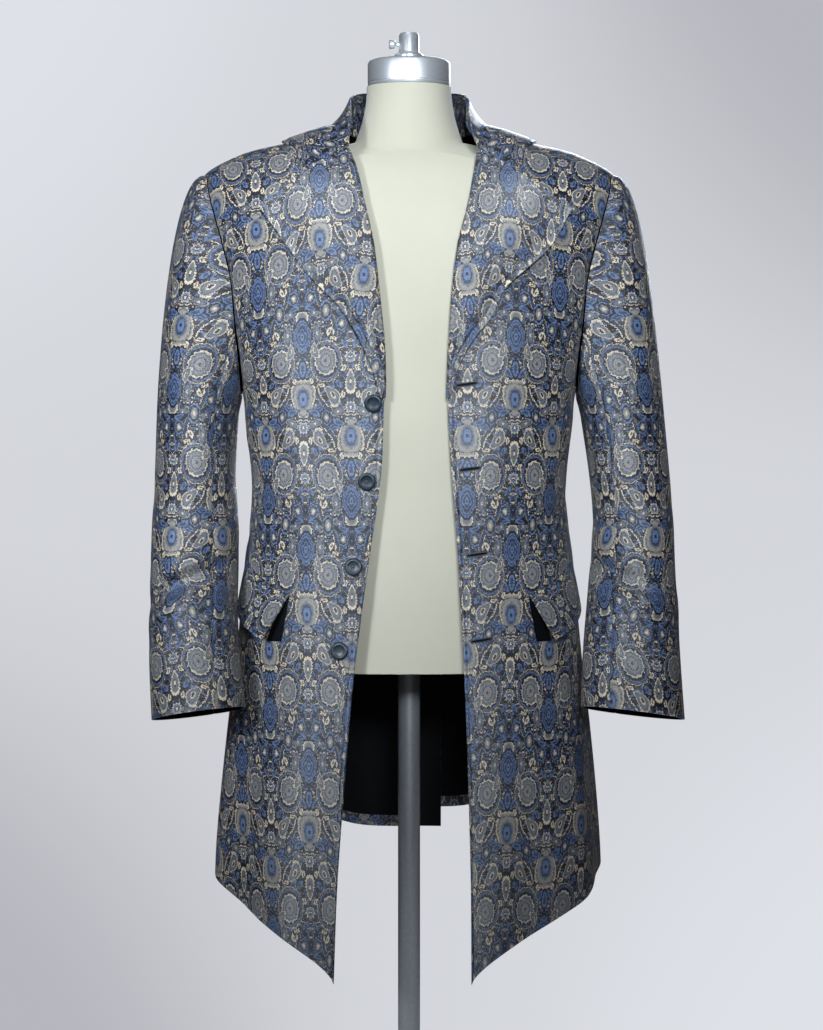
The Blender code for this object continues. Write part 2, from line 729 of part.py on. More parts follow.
def lapel_top_z(side, x, tip_x, tip_z):
    """Height of the lapel's top edge: along the gorge seam to the notch, then out to the tip."""
    start = gorge_x(side)
    if x < NOTCH_X:
        line = blend(GORGE_Z, NOTCH_Z, (x - start) / (NOTCH_X - start))
    else:
        line = blend(NOTCH_Z, tip_z, (x - NOTCH_X) / (tip_x - NOTCH_X))
    return line - 4 * SEAM_GAP


def lapel_surface(side):
    tip = LAPEL_EDGE[-1]
    tip_x = tip.left_x if side == LEFT else tip.right_x
    tip_z = tip.left_z if side == LEFT else tip.right_z
    start_x = gorge_x(side)

    def surface(u, v):
        row = between(LAPEL_EDGE, v)
        far_x = row.left_x if side == LEFT else row.right_x
        far_z = row.left_z if side == LEFT else row.right_z
        roll_z = blend(LAPEL_BREAK_Z, GORGE_Z, v)
        roll_x = front_edge_x(side, roll_z) + 0.001
        bow = lapel_top_z(side, blend(start_x, tip_x, u), tip_x, tip_z) - blend(GORGE_Z, tip_z, u)
        x = blend(roll_x, far_x, u)
        z = blend(roll_z, far_z, u) + bow * ease((v - LAPEL_TOP) / (1 - LAPEL_TOP))
        roll = LAPEL_ROLL * sin(pi * min(u * LAPEL_ROLL_REACH, 1.0)) * ease(v / LAPEL_ROLL_START)
        return on_trunk(side, x, z, LAPEL_LIFT + CLOTH + roll)
    return surface


for side, label in ((RIGHT, "right"), (LEFT, "left")):
    add_wall("lapel_" + label, lapel_surface(side), shares(8), shares(13), CLOTH,
             trunk_axis, JACQUARD)

# Pocket flaps, slanted down towards the front and standing off the cloth at the lower corner

FLAP_TURN = radians(42.5)
FLAP_Z = 0.971
FLAP_LENGTH = 0.090
FLAP_HEIGHT = 0.055
FLAP_SLOPE = radians(22)
FLAP_TURN_PER_METRE = radians(1) / 0.00253
FLAP_STAND_OFF = 0.008


def flap_surface(side):
    def surface(u, v):
        back = FLAP_LENGTH * cos(FLAP_SLOPE) * u + FLAP_HEIGHT * sin(FLAP_SLOPE) * v
        z = FLAP_Z + FLAP_LENGTH * sin(FLAP_SLOPE) * u - FLAP_HEIGHT * cos(FLAP_SLOPE) * v
        level = z - ARMPIT_Z
        turn = FLAP_TURN + back * FLAP_TURN_PER_METRE
        lift = LAYER_GAP + CLOTH + FLAP_STAND_OFF * v * blend(1.0, 0.15, u)
        return trunk_point(side, turn, level) + trunk_normal(side, turn, level) * lift
    return surface


for side, label in ((RIGHT, "right"), (LEFT, "left")):
    add_wall("pocket_flap_" + label, flap_surface(side), shares(6), shares(5), CLOTH,
             trunk_axis, JACQUARD)


def add_turned(name, profile, segments, material):
    """Round body turned about Z from (radius, height) steps, closed at both ends on the axis."""
    points = [Vector((0.0, 0.0, profile[0][1]))]
    rings = profile[1:-1]
    for radius, height in rings:
        for number in range(segments):
            angle = 2 * pi * number / segments
            points.append(Vector((radius * cos(angle), radius * sin(angle), height)))
    points.append(Vector((0.0, 0.0, profile[-1][1])))
    final = len(points) - 1
    low = 1 + (len(rings) - 1) * segments
    faces = []
    for number in range(segments):
        after = (number + 1) % segments
        faces.append((0, 1 + number, 1 + after))
        faces.append((final, low + after, low + number))
        for ring in range(len(rings) - 1):
            base = 1 + ring * segments
            faces.append((base + number, base + segments + number,
                          base + segments + after, base + after))
    return add_mesh(name, points, faces, material)


# Four buttons down the edge of the right front

ButtonPlace = namedtuple("ButtonPlace", "x z")
BUTTONS = [
    ButtonPlace(0.0385, 1.180),
    ButtonPlace(0.0455, 1.095),
    ButtonPlace(0.0600, 1.002),
    ButtonPlace(0.0750, 0.911),
]
BUTTON_RADIUS = 0.0098
BUTTON_PROFILE = [
    (0.0, 0.0030),
    (0.62 * BUTTON_RADIUS, 0.0030),
    (0.78 * BUTTON_RADIUS, 0.0042),
    (0.92 * BUTTON_RADIUS, 0.0040),
    (BUTTON_RADIUS, 0.0022),
    (0.60 * BUTTON_RADIUS, 0.0),
    (0.0, 0.0),
]

for number, place in enumerate(BUTTONS, start=1):
    level = level_at_height(RIGHT, place.x, place.z)
    turn = turn_of(place.x, level, False)
    button = add_turned("button_%d" % number, BUTTON_PROFILE, 16,
                        finish("button_%d" % number, DARK_HORN, 0.30))
    facing = trunk_normal(RIGHT, turn, level)
    spot = trunk_point(RIGHT, turn, level) + facing * LAYER_GAP
    aim = facing.to_track_quat("Z", "Y").to_matrix().to_4x4()
    button.matrix_world = Matrix.Translation(spot) @ aim

# Dress form: a smooth limbless trunk under the coat, touching it along the shoulders

FormEase = namedtuple("FormEase", "z side front back")
FORM_EASE = [
    FormEase(0.885, 0.018, 0.020, 0.022),
    FormEase(1.000, 0.014, 0.016, 0.016),
    FormEase(1.083, 0.010, 0.012, 0.012),
    FormEase(1.190, 0.012, 0.010, 0.010),
    FormEase(1.300, 0.022, 0.009, 0.009),
    FormEase(1.400, 0.028, 0.006, 0.006),
    FormEase(1.435, 0.030, 0.006, 0.006),
]
FORM_BOTTOM_Z = 0.885
FORM_SHOULDER_GAP = CLOTH + 0.0009
FORM_AWAY_GAP = 0.007   # added away from the shoulder seam
FORM_NECK_GAP = 0.012   # added near the neck
FORM_AWAY_Y = 0.04      # distance from the seam at which the gap is whole
FORM_NECK_X = 0.100
FORM_NECK_BLEND = 0.025
FORM_SHOULDER_DROP = 0.016      # the form's arm stumps round off under the sleeve heads
FORM_STUMP_X = 0.165
FORM_STUMP_BLEND = 0.04
FORM_CLIMB = 0.72       # level at which the yoke's rings give way to the neck's
NECK_CENTRE_Y = 0.003
NECK_BASE_RADIUS = 0.061
NECK_RADIUS = 0.0475
NECK_TOP_Z = 1.5365
NECK_FOOT_Z = 1.4790    # the shoulders rise no higher than this round the neck
FORM_SIDES = 32


def form_droop(x):
    """How far the form lies below the coat near the neck and under the sleeve heads."""
    stump = FORM_SHOULDER_DROP * ease((abs(x) - FORM_STUMP_X) / FORM_STUMP_BLEND)
    return stump + FORM_NECK_GAP * ease((FORM_NECK_X - abs(x)) / FORM_NECK_BLEND)


def form_top(x, y):
    """Height of the form under the shoulder at a plan position."""
    side = LEFT if x >= 0 else RIGHT
    point = top_of_shoulder(side, max(abs(x), 0.0005), y, -FORM_SHOULDER_GAP)
    return point.z - FORM_AWAY_GAP * ease(abs(y) / FORM_AWAY_Y) - form_droop(x)


def form_ring(level):
    """One ring of the form's trunk, as points round it."""
    points = []
    for number in range(FORM_SIDES):
        around = 2 * pi * number / FORM_SIDES
        side = LEFT if around <= pi else RIGHT
        turn = around if around <= pi else 2 * pi - around
        rise = power(sin(max(level, 0.0) * pi / 2), 2 / BEND)
        draw_in = power(cos(max(level, 0.0) * pi / 2), 2 / BEND)
        base_z = ARMPIT_Z + min(level, 0.0)
        height = base_z + rise * (SHOULDER_Z - ARMPIT_Z)
        row, slack = between(TRUNK, height), between(FORM_EASE, height)
        depth = row.front_depth - slack.front if turn < pi / 2 else row.back_depth - slack.back
        x = (row.half_width - slack.side) * power(sin(turn), 2 / row.fullness)
        y = -depth * draw_in * power(cos(turn), 2 / row.fullness)
        crest = between(SHOULDER_LINE, x).z - FORM_SHOULDER_GAP - form_droop(x)
        points.append(Vector((side * x, y, base_z + rise * (crest - base_z))))
    return points


def form_rings():
    rings = [form_ring(blend(FORM_BOTTOM_Z, ARMPIT_Z, share) - ARMPIT_Z) for share in shares(9)]
    rings += [form_ring(FORM_CLIMB * share ** 1.3) for share in shares(8)[1:]]
    yoke = rings[-1]
    neck_base = []
    for number in range(FORM_SIDES):
        around = 2 * pi * number / FORM_SIDES
        neck_base.append(Vector((NECK_BASE_RADIUS * sin(around),
                                 NECK_CENTRE_Y - NECK_BASE_RADIUS * cos(around), 0.0)))
    for share in shares(5)[1:]:
        ring = []
        for low, high in zip(yoke, neck_base):
            x = blend(low.x, high.x, share)
            y = blend(low.y, high.y, share)
            ring.append(Vector((x, y, min(form_top(x, y), NECK_FOOT_Z))))
        rings.append(ring)
    base = rings[-1]
    for share in shares(4)[1:]:
        radius = blend(NECK_BASE_RADIUS, NECK_RADIUS, 1 - (1 - share) ** 2)
        ring = []
        for number, low in enumerate(base):
            around = 2 * pi * number / FORM_SIDES
            ring.append(Vector((radius * sin(around), NECK_CENTRE_Y - radius * cos(around),
                                blend(low.z, NECK_TOP_Z, share))))
        rings.append(ring)
    return rings


def add_form_torso():
    rings = form_rings()
    points = [point for ring in rings for point in ring]
    faces = []
    for ring in range(len(rings) - 1):
        base = ring * FORM_SIDES
        for number in range(FORM_SIDES):
            after = (number + 1) % FORM_SIDES
            faces.append((base + number, base + after,
                          base + FORM_SIDES + after, base + FORM_SIDES + number))
    final = (len(rings) - 1) * FORM_SIDES
    faces.append(tuple(reversed(range(FORM_SIDES))))
    faces.append(tuple(range(final, final + FORM_SIDES)))
    return add_mesh("form_torso", points, faces, finish("form_torso", CREAM_JERSEY, 0.85))


add_form_torso()

# Neck cap, pole socket and its clamp screw, in brushed metal

CAP_BASE_Z = NECK_TOP_Z + SEAM_GAP
CAP_TOP_Z = 1.5670
CAP_RADIUS = 0.0465
CAP_PROFILE = [
    (0.0, CAP_TOP_Z),
    (0.70 * CAP_RADIUS, CAP_TOP_Z),
    (0.94 * CAP_RADIUS, CAP_TOP_Z - 0.0012),
    (CAP_RADIUS, CAP_TOP_Z - 0.0045),
    (CAP_RADIUS, CAP_BASE_Z + 0.0030),
    (0.97 * CAP_RADIUS, CAP_BASE_Z),
    (0.0, CAP_BASE_Z),
]
cap = add_turned("form_neck_cap", CAP_PROFILE, 36,
                 finish("form_neck_cap", BRUSHED_STEEL, 0.30, 1.0))
cap.location.y = NECK_CENTRE_Y

SOCKET_BASE_Z = CAP_TOP_Z + SEAM_GAP
SOCKET_TOP_Z = 1.5975
FLANGE_RADIUS = 0.0170
SOCKET_RADIUS = 0.0112
SOCKET_PROFILE = [
    (0.0, SOCKET_TOP_Z),
    (0.55 * SOCKET_RADIUS, SOCKET_TOP_Z),
    (0.90 * SOCKET_RADIUS, SOCKET_TOP_Z - 0.0010),
    (SOCKET_RADIUS, SOCKET_TOP_Z - 0.0040),
    (SOCKET_RADIUS, SOCKET_BASE_Z + 0.0090),
    (0.92 * FLANGE_RADIUS, SOCKET_BASE_Z + 0.0060),
    (FLANGE_RADIUS, SOCKET_BASE_Z + 0.0040),
    (FLANGE_RADIUS, SOCKET_BASE_Z),
    (0.0, SOCKET_BASE_Z),
]
socket = add_turned("form_socket", SOCKET_PROFILE, 28,
                    finish("form_socket", BRUSHED_STEEL, 0.25, 1.0))
socket.location.y = NECK_CENTRE_Y

SCREW_Z = 1.5845
SCREW_PROFILE = [
    (0.0, 0.0110),
    (0.0040, 0.0110),
    (0.0052, 0.0098),
    (0.0052, 0.0050),
    (0.0030, 0.0040),
    (0.0024, 0.0),
    (0.0, 0.0),
]
screw = add_turned("form_clamp_screw", SCREW_PROFILE, 20,
                   finish("form_clamp_screw", BRUSHED_STEEL, 0.25, 1.0))
screw.location = (-SOCKET_RADIUS - SEAM_GAP, NECK_CENTRE_Y, SCREW_Z)
screw.rotation_euler = (0.0, radians(-90), 0.0)

# Stand: a heavy round base and a slim pole up to the form

BASE_RADIUS = 0.190
HUB_RADIUS = 0.026
HUB_TOP_Z = 0.055
BASE_PROFILE = [
    (0.0, HUB_TOP_Z),
    (0.80 * HUB_RADIUS, HUB_TOP_Z),
    (HUB_RADIUS, HUB_TOP_Z - 0.005),
    (HUB_RADIUS, 0.026),
    (1.60 * HUB_RADIUS, 0.021),
    (0.95 * BASE_RADIUS, 0.0120),
    (BASE_RADIUS, 0.0070),
    (BASE_RADIUS, 0.0),
    (0.0, 0.0),
]
add_turned("stand_base", BASE_PROFILE, 36, finish("stand_base", CAST_BASE, 0.40, 0.6))

POLE_RADIUS = 0.0125
POLE_PROFILE = [
    (0.0, FORM_BOTTOM_Z - SEAM_GAP),
    (POLE_RADIUS, FORM_BOTTOM_Z - SEAM_GAP),
    (POLE_RADIUS, HUB_TOP_Z + SEAM_GAP),
    (0.0, HUB_TOP_Z + SEAM_GAP),
]
add_turned("stand_pole", POLE_PROFILE, 24, finish("stand_pole", BRUSHED_STEEL, 0.25, 1.0))
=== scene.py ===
"""A paisley jacquard frock coat, worn open on a dress form with a pole stand.

Metres, with +Z up. The coat faces -Y and the wearer's left is +X.
A side is +1 for the wearer's left and -1 for the wearer's right.
"""

from collections import namedtuple
from functools import partial
from math import acos, asin, cos, exp, pi, radians, sin, sqrt

import bpy
import numpy as np
from mathutils import Matrix, Vector


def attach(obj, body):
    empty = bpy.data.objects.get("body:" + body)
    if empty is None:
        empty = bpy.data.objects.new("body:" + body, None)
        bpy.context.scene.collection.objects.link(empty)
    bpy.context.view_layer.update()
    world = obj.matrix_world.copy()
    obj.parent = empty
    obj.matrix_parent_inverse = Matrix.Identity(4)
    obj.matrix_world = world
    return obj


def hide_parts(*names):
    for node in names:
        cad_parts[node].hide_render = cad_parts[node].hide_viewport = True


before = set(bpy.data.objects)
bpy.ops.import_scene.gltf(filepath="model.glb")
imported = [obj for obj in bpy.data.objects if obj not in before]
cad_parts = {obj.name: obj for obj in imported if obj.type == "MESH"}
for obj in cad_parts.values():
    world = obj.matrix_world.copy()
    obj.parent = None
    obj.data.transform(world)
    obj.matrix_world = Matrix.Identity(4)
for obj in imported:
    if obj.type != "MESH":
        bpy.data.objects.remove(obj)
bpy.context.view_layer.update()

# The cloth of the coat is a jacquard with a mirrored paisley repeat.
# Cream, beige and periwinkle threads float over a near black satin ground, so the motifs
# keep a soft silky sheen. The repeat turns half round between its two rows.

CHART_STEP = 0.00109    # metres of cloth to one step of the weaver's chart
CHART_WIDTH = 50        # steps between the two mirror lines
CHART_HEIGHT = 217
TURN_HEIGHT = 25        # the repeat turns half round about a point at this height
JITTER = 4.5            # steps by which threads roughen an outline at most, about
JITTER_SCALE = 0.55

THREADS = {
    "cream": (0.53, 0.44, 0.31),
    "beige": (0.232, 0.212, 0.180),
    "ash": (0.112, 0.118, 0.135),
    "periwinkle": (0.092, 0.136, 0.240),
    "slate": (0.026, 0.039, 0.080),
    "navy": (0.0065, 0.0075, 0.014),
    "black": (0.008, 0.0048, 0.0052),
}

# Rings of each motif from its heart out: the hundredth of its size where each thread starts

RINGS = {
    "rope arc": "0 clear, 83 black, 85 cream, 87.5 navy, 90 slate, 94.5 black, 96 beige, "
                "98.5 black",
    "crescent": "0 black, 70 navy, 75 slate, 80 periwinkle, 84 navy, 87 ash, 91 navy, 94 cream, "
                "97.5 black",
    "medallion": "0 slate, 7 ash, 14 beige, 24 ash, 29 beige, 39 slate, 44 ash, 54 beige, 60 ash, "
                 "74 slate, 78 beige, 83 cream, 91 navy",
    "hook": "0 navy, 20 cream, 32 ash, 62 slate, 72 beige, 84 cream, 94 navy",
    "tail": "0 cream, 14 ash, 52 slate, 70 beige, 84 navy",
    "vase": "0 navy, 8 periwinkle, 20 navy, 27 slate, 36 periwinkle, 46 navy, 52 slate, "
            "62 periwinkle, 70 slate, 80 periwinkle, 88 navy",
    "dome": "0 ash, 40 beige, 56 cream, 68 navy, 82 periwinkle, 92 navy",
    "eye": "0 cream, 22 beige, 36 ash, 50 black, 70 periwinkle, 86 navy",
    "leaf": "0 navy, 8 periwinkle, 30 slate, 40 ash, 52 beige, 72 slate, 76 beige, 86 cream, "
            "92 navy",
    "dart": "0 cream, 16 navy, 26 ash, 60 cream, 76 navy",
    "rosette": "0 cream, 20 navy, 34 periwinkle, 58 beige, 68 cream, 80 navy",
    "comma": "0 slate, 28 cream, 66 black",
    "petal": "0 slate, 40 periwinkle, 74 navy",
}


def table(name, columns, *rows, degrees=()):
    """Short table with named columns, some of them in degrees.

    The last columns are 0 where a row leaves them out.
    """
    row_kind = namedtuple(name, columns, defaults=[0] * len(columns.split()))
    rows = [row_kind(*row) for row in rows]
    return [row._replace(**{part: radians(getattr(row, part)) for part in degrees}) for row in rows]


# Motifs of half a repeat in the order they are woven over each other

MOTIFS = table(
    "Motif", "rings x y angle width height point bend lobes scallop",
    ("rope arc", 0, 2, 0, 38, 38), ("rope arc", 50, -46, 0, 40, 40),
    ("leaf", 0, -65, 0, 14.5, 24, -0.85, 0, 12, 0.06), ("petal", 7, -37, -32, 4.0, 8, -0.8, 0.4),
    ("petal", 0, -33, 0, 4.5, 11, -0.7), ("crescent", 25.0, -26, 0, 17.0, 21.5),
    ("medallion", 24.5, -25, 0, 12.8, 16.0, 0, 0, 15, 0.08),
    ("tail", 15.5, 3, 3, 5.2, 15.0, 0.5, 0.35), ("hook", 13.5, -14, 14, 4.0, 9.0, 0.9, -0.6),
    ("dome", 0, 19, 0, 10.0, 10.5), ("vase", 0, 0, 0, 11.0, 19, -0.35, 0, 4, 0.16),
    ("eye", 25, 25, 0, 7.0, 12), ("petal", 34, 27, 40, 3.2, 8, 0.8, 0.5),
    ("petal", 10, 33, -25, 3.2, 8, 0.8, 0.5), ("eye", 41.0, 11, 0, 7.0, 8.5, 0, 0, 8, 0.16),
    ("rosette", 50, -22, 0, 7.5, 7.5, 0, 0, 8, 0.30), ("petal", 44, -9, 40, 2.8, 7, 0.8, 0.5),
    ("dart", 50, -47, 0, 6.5, 17, 0.92), ("rosette", 50, -73, 0, 8.0, 8.0, 0, 0, 9, 0.22),
    ("hook", 31, -61, 32, 6.5, 13.0, 0.9, 0.6), ("eye", 25, -83.5, 0, 6, 9),
    ("comma", 9, -45, 25, 2.6, 5.5, 0.9, 0.8), ("comma", 29, 4, -30, 3.0, 7.0, 0.9, -0.8),
    ("comma", 43, -33, -35, 2.6, 6.0, 0.9, 0.8), ("comma", 42, -86, 15, 2.8, 6.5, 0.9, -0.8),
    ("comma", 9, -88, -15, 2.8, 6.5, -0.9, 0.8), ("comma", 33, -3, 60, 2.4, 5.5, 0.9, 0.8),
    ("comma", 20, -50, 75, 2.6, 6.5, 0.9, -0.8), ("comma", 42, -60, 10, 2.6, 6.0, 0.9, 0.8),
    ("petal", 19, -74, -50, 3.0, 7.5, 0.8, 0.5), ("petal", 38, -49, 30, 3.0, 7.0, 0.8, -0.5),
    ("tail", 37, -77, -62, 4.4, 9.5, 0.6, 0.4), ("petal", 12, -79, 68, 3.8, 9.0, 0.8, 0.5),
    ("petal", 41, 22, 72, 3.4, 8.5, 0.8, -0.5), ("tail", 13, 23, 64, 3.8, 8.5, 0.6, 0.4),
    degrees=["angle"],
)

# The ground between them: noise shares at which each thread shows, and sizes of seed beads

SLATE_ABOVE, PERIWINKLE_ABOVE, BLACK_BELOW = 0.54, 0.62, 0.49
SCROLL_WIDTH = 0.012
BEADS = table("BeadRow", "density worn_above cream_above", (0.26, 0.30, 0.55), (0.16, 0.45, 0.60))
BEAD_SIZE, BEAD_GROWTH, BEAD_RIM = 0.15, 0.16, 0.13
BEND_MIDDLE = 0.3       # where a bent motif stays in place
NARROWEST = 0.02
MOTTLE_SCALE, MOTTLE_STRETCH = 900.0, (1.0, 0.55, 1.0)
MOTTLE_GAIN, MOTTLE_START, MOTTLE_RELIEF = 1.7, 0.15, 1.6
RIB_PERIOD, RIB_ANGLE = 0.00050, radians(63)
SATIN_PERIOD, SATIN_ANGLE = 0.00035, radians(70)


def feed(tree, socket, value):
    """Set a socket to a value or link it to another socket."""
    if isinstance(value, bpy.types.NodeSocket):
        tree.links.new(value, socket)
    elif isinstance(value, tuple) and socket.type == "RGBA":
        socket.default_value = (*value, 1.0)
    else:
        socket.default_value = value


def add_node(tree, kind, inputs, **settings):
    """New node of a material with its settings, and values or links for its inputs."""
    node = tree.nodes.new("ShaderNode" + kind)
    for name, value in settings.items():
        setattr(node, name, value)
    for place, value in inputs.items():
        feed(tree, node.inputs[place], value)
    return node


def reckon(tree, operation, *values, clamp=False):
    """One step of arithmetic in a material."""
    node = add_node(tree, "Math", dict(enumerate(values)), operation=operation, use_clamp=clamp)
    return node.outputs[0]


def lay_over(tree, under, over, share, blend_type="MIX"):
    """Colour over another, by a share."""
    node = add_node(tree, "Mix", {}, data_type="RGBA", blend_type=blend_type)
    for place, value in ((0, share), (6, under), (7, over)):
        feed(tree, node.inputs[place], value)
    return node.outputs[2]


def split(tree, vector):
    """The three parts of a vector."""
    return add_node(tree, "SeparateXYZ", {0: vector}).outputs


def ring_ramp(tree, distance, rings):
    """Threads at a distance from a motif's heart; clear where no thread is named."""
    stops = [stop.split() for stop in rings.split(", ")] + [("100", "clear")]
    node = add_node(tree, "ValToRGB", {0: distance})
    ramp = node.color_ramp
    ramp.interpolation = "CONSTANT"
    while len(ramp.elements) < len(stops):
        ramp.elements.new(1.0)
    for element, (place, thread) in zip(ramp.elements, stops):
        element.position = float(place) / 100
        element.color = (0.0, 0.0, 0.0, 0.0) if thread == "clear" else (*THREADS[thread], 1.0)
    return node.outputs[0], node.outputs[1]


def motif_distance(tree, chart, motif):
    """How far the chart's point lies from a motif's heart, as a share of its size."""
    place = add_node(tree, "Mapping", {
        "Vector": chart, "Location": (motif.x, motif.y, 0.0),
        "Rotation": (0.0, 0.0, motif.angle), "Scale": (motif.width, motif.height, 1.0),
    }, vector_type="TEXTURE")
    across, up, _ = split(tree, place.outputs[0])
    square = reckon(tree, "MULTIPLY", up, up)
    if motif.bend:
        across = reckon(tree, "MULTIPLY_ADD", square, motif.bend, across)
        across = reckon(tree, "SUBTRACT", across, motif.bend * BEND_MIDDLE)
    if motif.point:
        narrow = reckon(tree, "MULTIPLY_ADD", up, -motif.point, 1.0)
        narrow = reckon(tree, "SQRT", reckon(tree, "MAXIMUM", narrow, NARROWEST))
        across = reckon(tree, "DIVIDE", across, narrow)
    distance = reckon(tree, "SQRT", reckon(tree, "MULTIPLY_ADD", across, across, square))
    if motif.lobes:
        angle = reckon(tree, "ARCTAN2", up, across)
        wave = reckon(tree, "COSINE", reckon(tree, "MULTIPLY", angle, motif.lobes / 2))
        wave = reckon(tree, "ABSOLUTE", wave)
        reach = reckon(tree, "MULTIPLY_ADD", wave, motif.scallop, 1.0 - motif.scallop)
        distance = reckon(tree, "DIVIDE", distance, reach)
    return distance


def chart_point(tree, cloth):
    """Folds the cloth's own coordinates into the half repeat that is charted."""
    across, up, _ = split(tree, cloth)
    across = reckon(tree, "MULTIPLY", across, 1 / CHART_STEP)
    up = reckon(tree, "MULTIPLY", up, 1 / CHART_STEP)
    across = reckon(tree, "PINGPONG", across, CHART_WIDTH)
    foot = TURN_HEIGHT - CHART_HEIGHT / 2
    up = reckon(tree, "WRAP", up, foot + CHART_HEIGHT, foot)
    turned = reckon(tree, "GREATER_THAN", up, TURN_HEIGHT)
    swap = reckon(tree, "MULTIPLY_ADD", across, -2.0, CHART_WIDTH)
    across = reckon(tree, "MULTIPLY_ADD", turned, swap, across)
    swap = reckon(tree, "MULTIPLY_ADD", up, -2.0, 2 * TURN_HEIGHT)
    up = reckon(tree, "MULTIPLY_ADD", turned, swap, up)
    return add_node(tree, "CombineXYZ", {0: across, 1: up}).outputs[0]


def thread_jitter(tree, chart):
    """Moves the chart's points a little, so outlines step like threads do."""
    rough = add_node(tree, "TexNoise", {"Scale": JITTER_SCALE, "Detail": 1.0, "Vector": chart})
    centre = add_node(tree, "VectorMath", {0: rough.outputs["Color"], 1: (0.5, 0.5, 0.5)},
                      operation="SUBTRACT")
    moved = add_node(tree, "VectorMath", {0: centre.outputs[0], 1: (JITTER, JITTER, 0.0), 2: chart},
                     operation="MULTIPLY_ADD")
    return moved.outputs[0]


def noise_at(tree, vector, scale, detail=2.0, stretch=(1.0, 1.0, 1.0)):
    squash = add_node(tree, "Mapping", {"Scale": stretch, "Vector": vector})
    return add_node(tree, "TexNoise", {
        "Scale": scale, "Detail": detail, "Vector": squash.outputs[0]}).outputs["Fac"]


def woven_ground(tree, chart):
    """The ground between the motifs: scrolls and seed beads on near black."""
    cloud = noise_at(tree, chart, 0.12)
    color = lay_over(tree, THREADS["navy"], THREADS["slate"],
                     reckon(tree, "GREATER_THAN", cloud, SLATE_ABOVE))
    color = lay_over(tree, color, THREADS["periwinkle"],
                     reckon(tree, "GREATER_THAN", cloud, PERIWINKLE_ABOVE))
    color = lay_over(tree, color, THREADS["black"], reckon(tree, "LESS_THAN", cloud, BLACK_BELOW))
    scroll = noise_at(tree, chart, 0.15, 0.0)
    away = reckon(tree, "ABSOLUTE", reckon(tree, "SUBTRACT", scroll, 0.5))
    color = lay_over(tree, color, THREADS["beige"], reckon(tree, "LESS_THAN", away, SCROLL_WIDTH))
    for row in BEADS:
        beads = add_node(tree, "TexVoronoi", {
            "Scale": row.density, "Randomness": 0.85, "Vector": chart}, voronoi_dimensions="2D")
        kind = add_node(tree, "SeparateColor", {0: beads.outputs["Color"]}).outputs
        bead_color = lay_over(tree, THREADS["periwinkle"], THREADS["cream"],
                              reckon(tree, "GREATER_THAN", kind[0], row.cream_above))
        worn = reckon(tree, "GREATER_THAN", kind[2], row.worn_above)
        size = reckon(tree, "MULTIPLY_ADD", kind[1], BEAD_GROWTH, BEAD_SIZE)
        size = reckon(tree, "MULTIPLY", size, worn)
        rim = reckon(tree, "MULTIPLY_ADD", worn, BEAD_RIM, size)
        rim = reckon(tree, "LESS_THAN", beads.outputs["Distance"], rim)
        color = lay_over(tree, color, THREADS["black"], rim)
        bead = reckon(tree, "LESS_THAN", beads.outputs["Distance"], size)
        color = lay_over(tree, color, bead_color, bead)
    return color


def principled(name, **values):
    """New material with its shader's own sockets set."""
    material = bpy.data.materials.new(name)
    material.use_nodes = True
    shader = material.node_tree.nodes["Principled BSDF"]
    for label, value in values.items():
        feed(material.node_tree, shader.inputs[label.replace("_", " ")], value)
    return material, material.node_tree, shader


def cloth_vector(tree):
    return add_node(tree, "UVMap", {}, uv_map="cloth").outputs[0]


def bump(tree, shader, height, depth, strength=1.0):
    node = add_node(tree, "Bump", {"Strength": strength, "Distance": depth, "Height": height})
    feed(tree, shader.inputs["Normal"], node.outputs[0])


def ribs(tree, vector, period, angle=0.0):
    """Thread ribs of a weave, as waves of a period in metres."""
    turn = add_node(tree, "Mapping", {"Rotation": (0.0, 0.0, angle), "Vector": vector})
    wave = add_node(tree, "TexWave", {"Scale": 2 * pi / (20 * period), "Vector": turn.outputs[0]})
    return wave.outputs["Fac"]


def weave_jacquard():
    material, tree, shader = principled("paisley_jacquard", Roughness=0.38, Sheen_Weight=0.03,
                                        Sheen_Roughness=0.35, Specular_IOR_Level=0.65)
    cloth = cloth_vector(tree)
    chart = thread_jitter(tree, chart_point(tree, cloth))
    color = woven_ground(tree, chart)
    for motif in MOTIFS:
        over, share = ring_ramp(tree, motif_distance(tree, chart, motif), RINGS[motif.rings])
        color = lay_over(tree, color, over, share)
    mottle = noise_at(tree, cloth, MOTTLE_SCALE, 2.0, MOTTLE_STRETCH)
    shade = reckon(tree, "MULTIPLY_ADD", mottle, MOTTLE_GAIN, MOTTLE_START)
    grey = add_node(tree, "CombineColor", {0: shade, 1: shade, 2: shade})
    color = lay_over(tree, color, grey.outputs[0], 1.0, "MULTIPLY")
    feed(tree, shader.inputs["Base Color"], color)
    threads = reckon(tree, "ADD", ribs(tree, cloth, RIB_PERIOD, RIB_ANGLE),
                     reckon(tree, "MULTIPLY", mottle, MOTTLE_RELIEF))
    bump(tree, shader, threads, 0.00014, 0.6)
    return material


def weave_lining():
    material, tree, shader = principled(
        "black_lining_satin", Base_Color=(0.004, 0.004, 0.005), Roughness=0.45,
        Sheen_Weight=0.0, Specular_IOR_Level=0.08)
    cloth = cloth_vector(tree)
    grain = noise_at(tree, cloth, 700.0, 2.0, (1.0, 0.15, 1.0))
    shade = lay_over(tree, (0.002, 0.002, 0.0025), (0.006, 0.006, 0.007), grain)
    feed(tree, shader.inputs["Base Color"], shade)
    bump(tree, shader, ribs(tree, cloth, SATIN_PERIOD, SATIN_ANGLE), 0.00008, 0.5)
    return material


JACQUARD = weave_jacquard()
LINING = weave_lining()

# The fronts run from the shoulder to a pointed hem, each in one piece with its edge open.
# They are tailored jacquard over canvas, faced with the same cloth along the edge and
# lined in black, and they hang from the shoulders of the form.

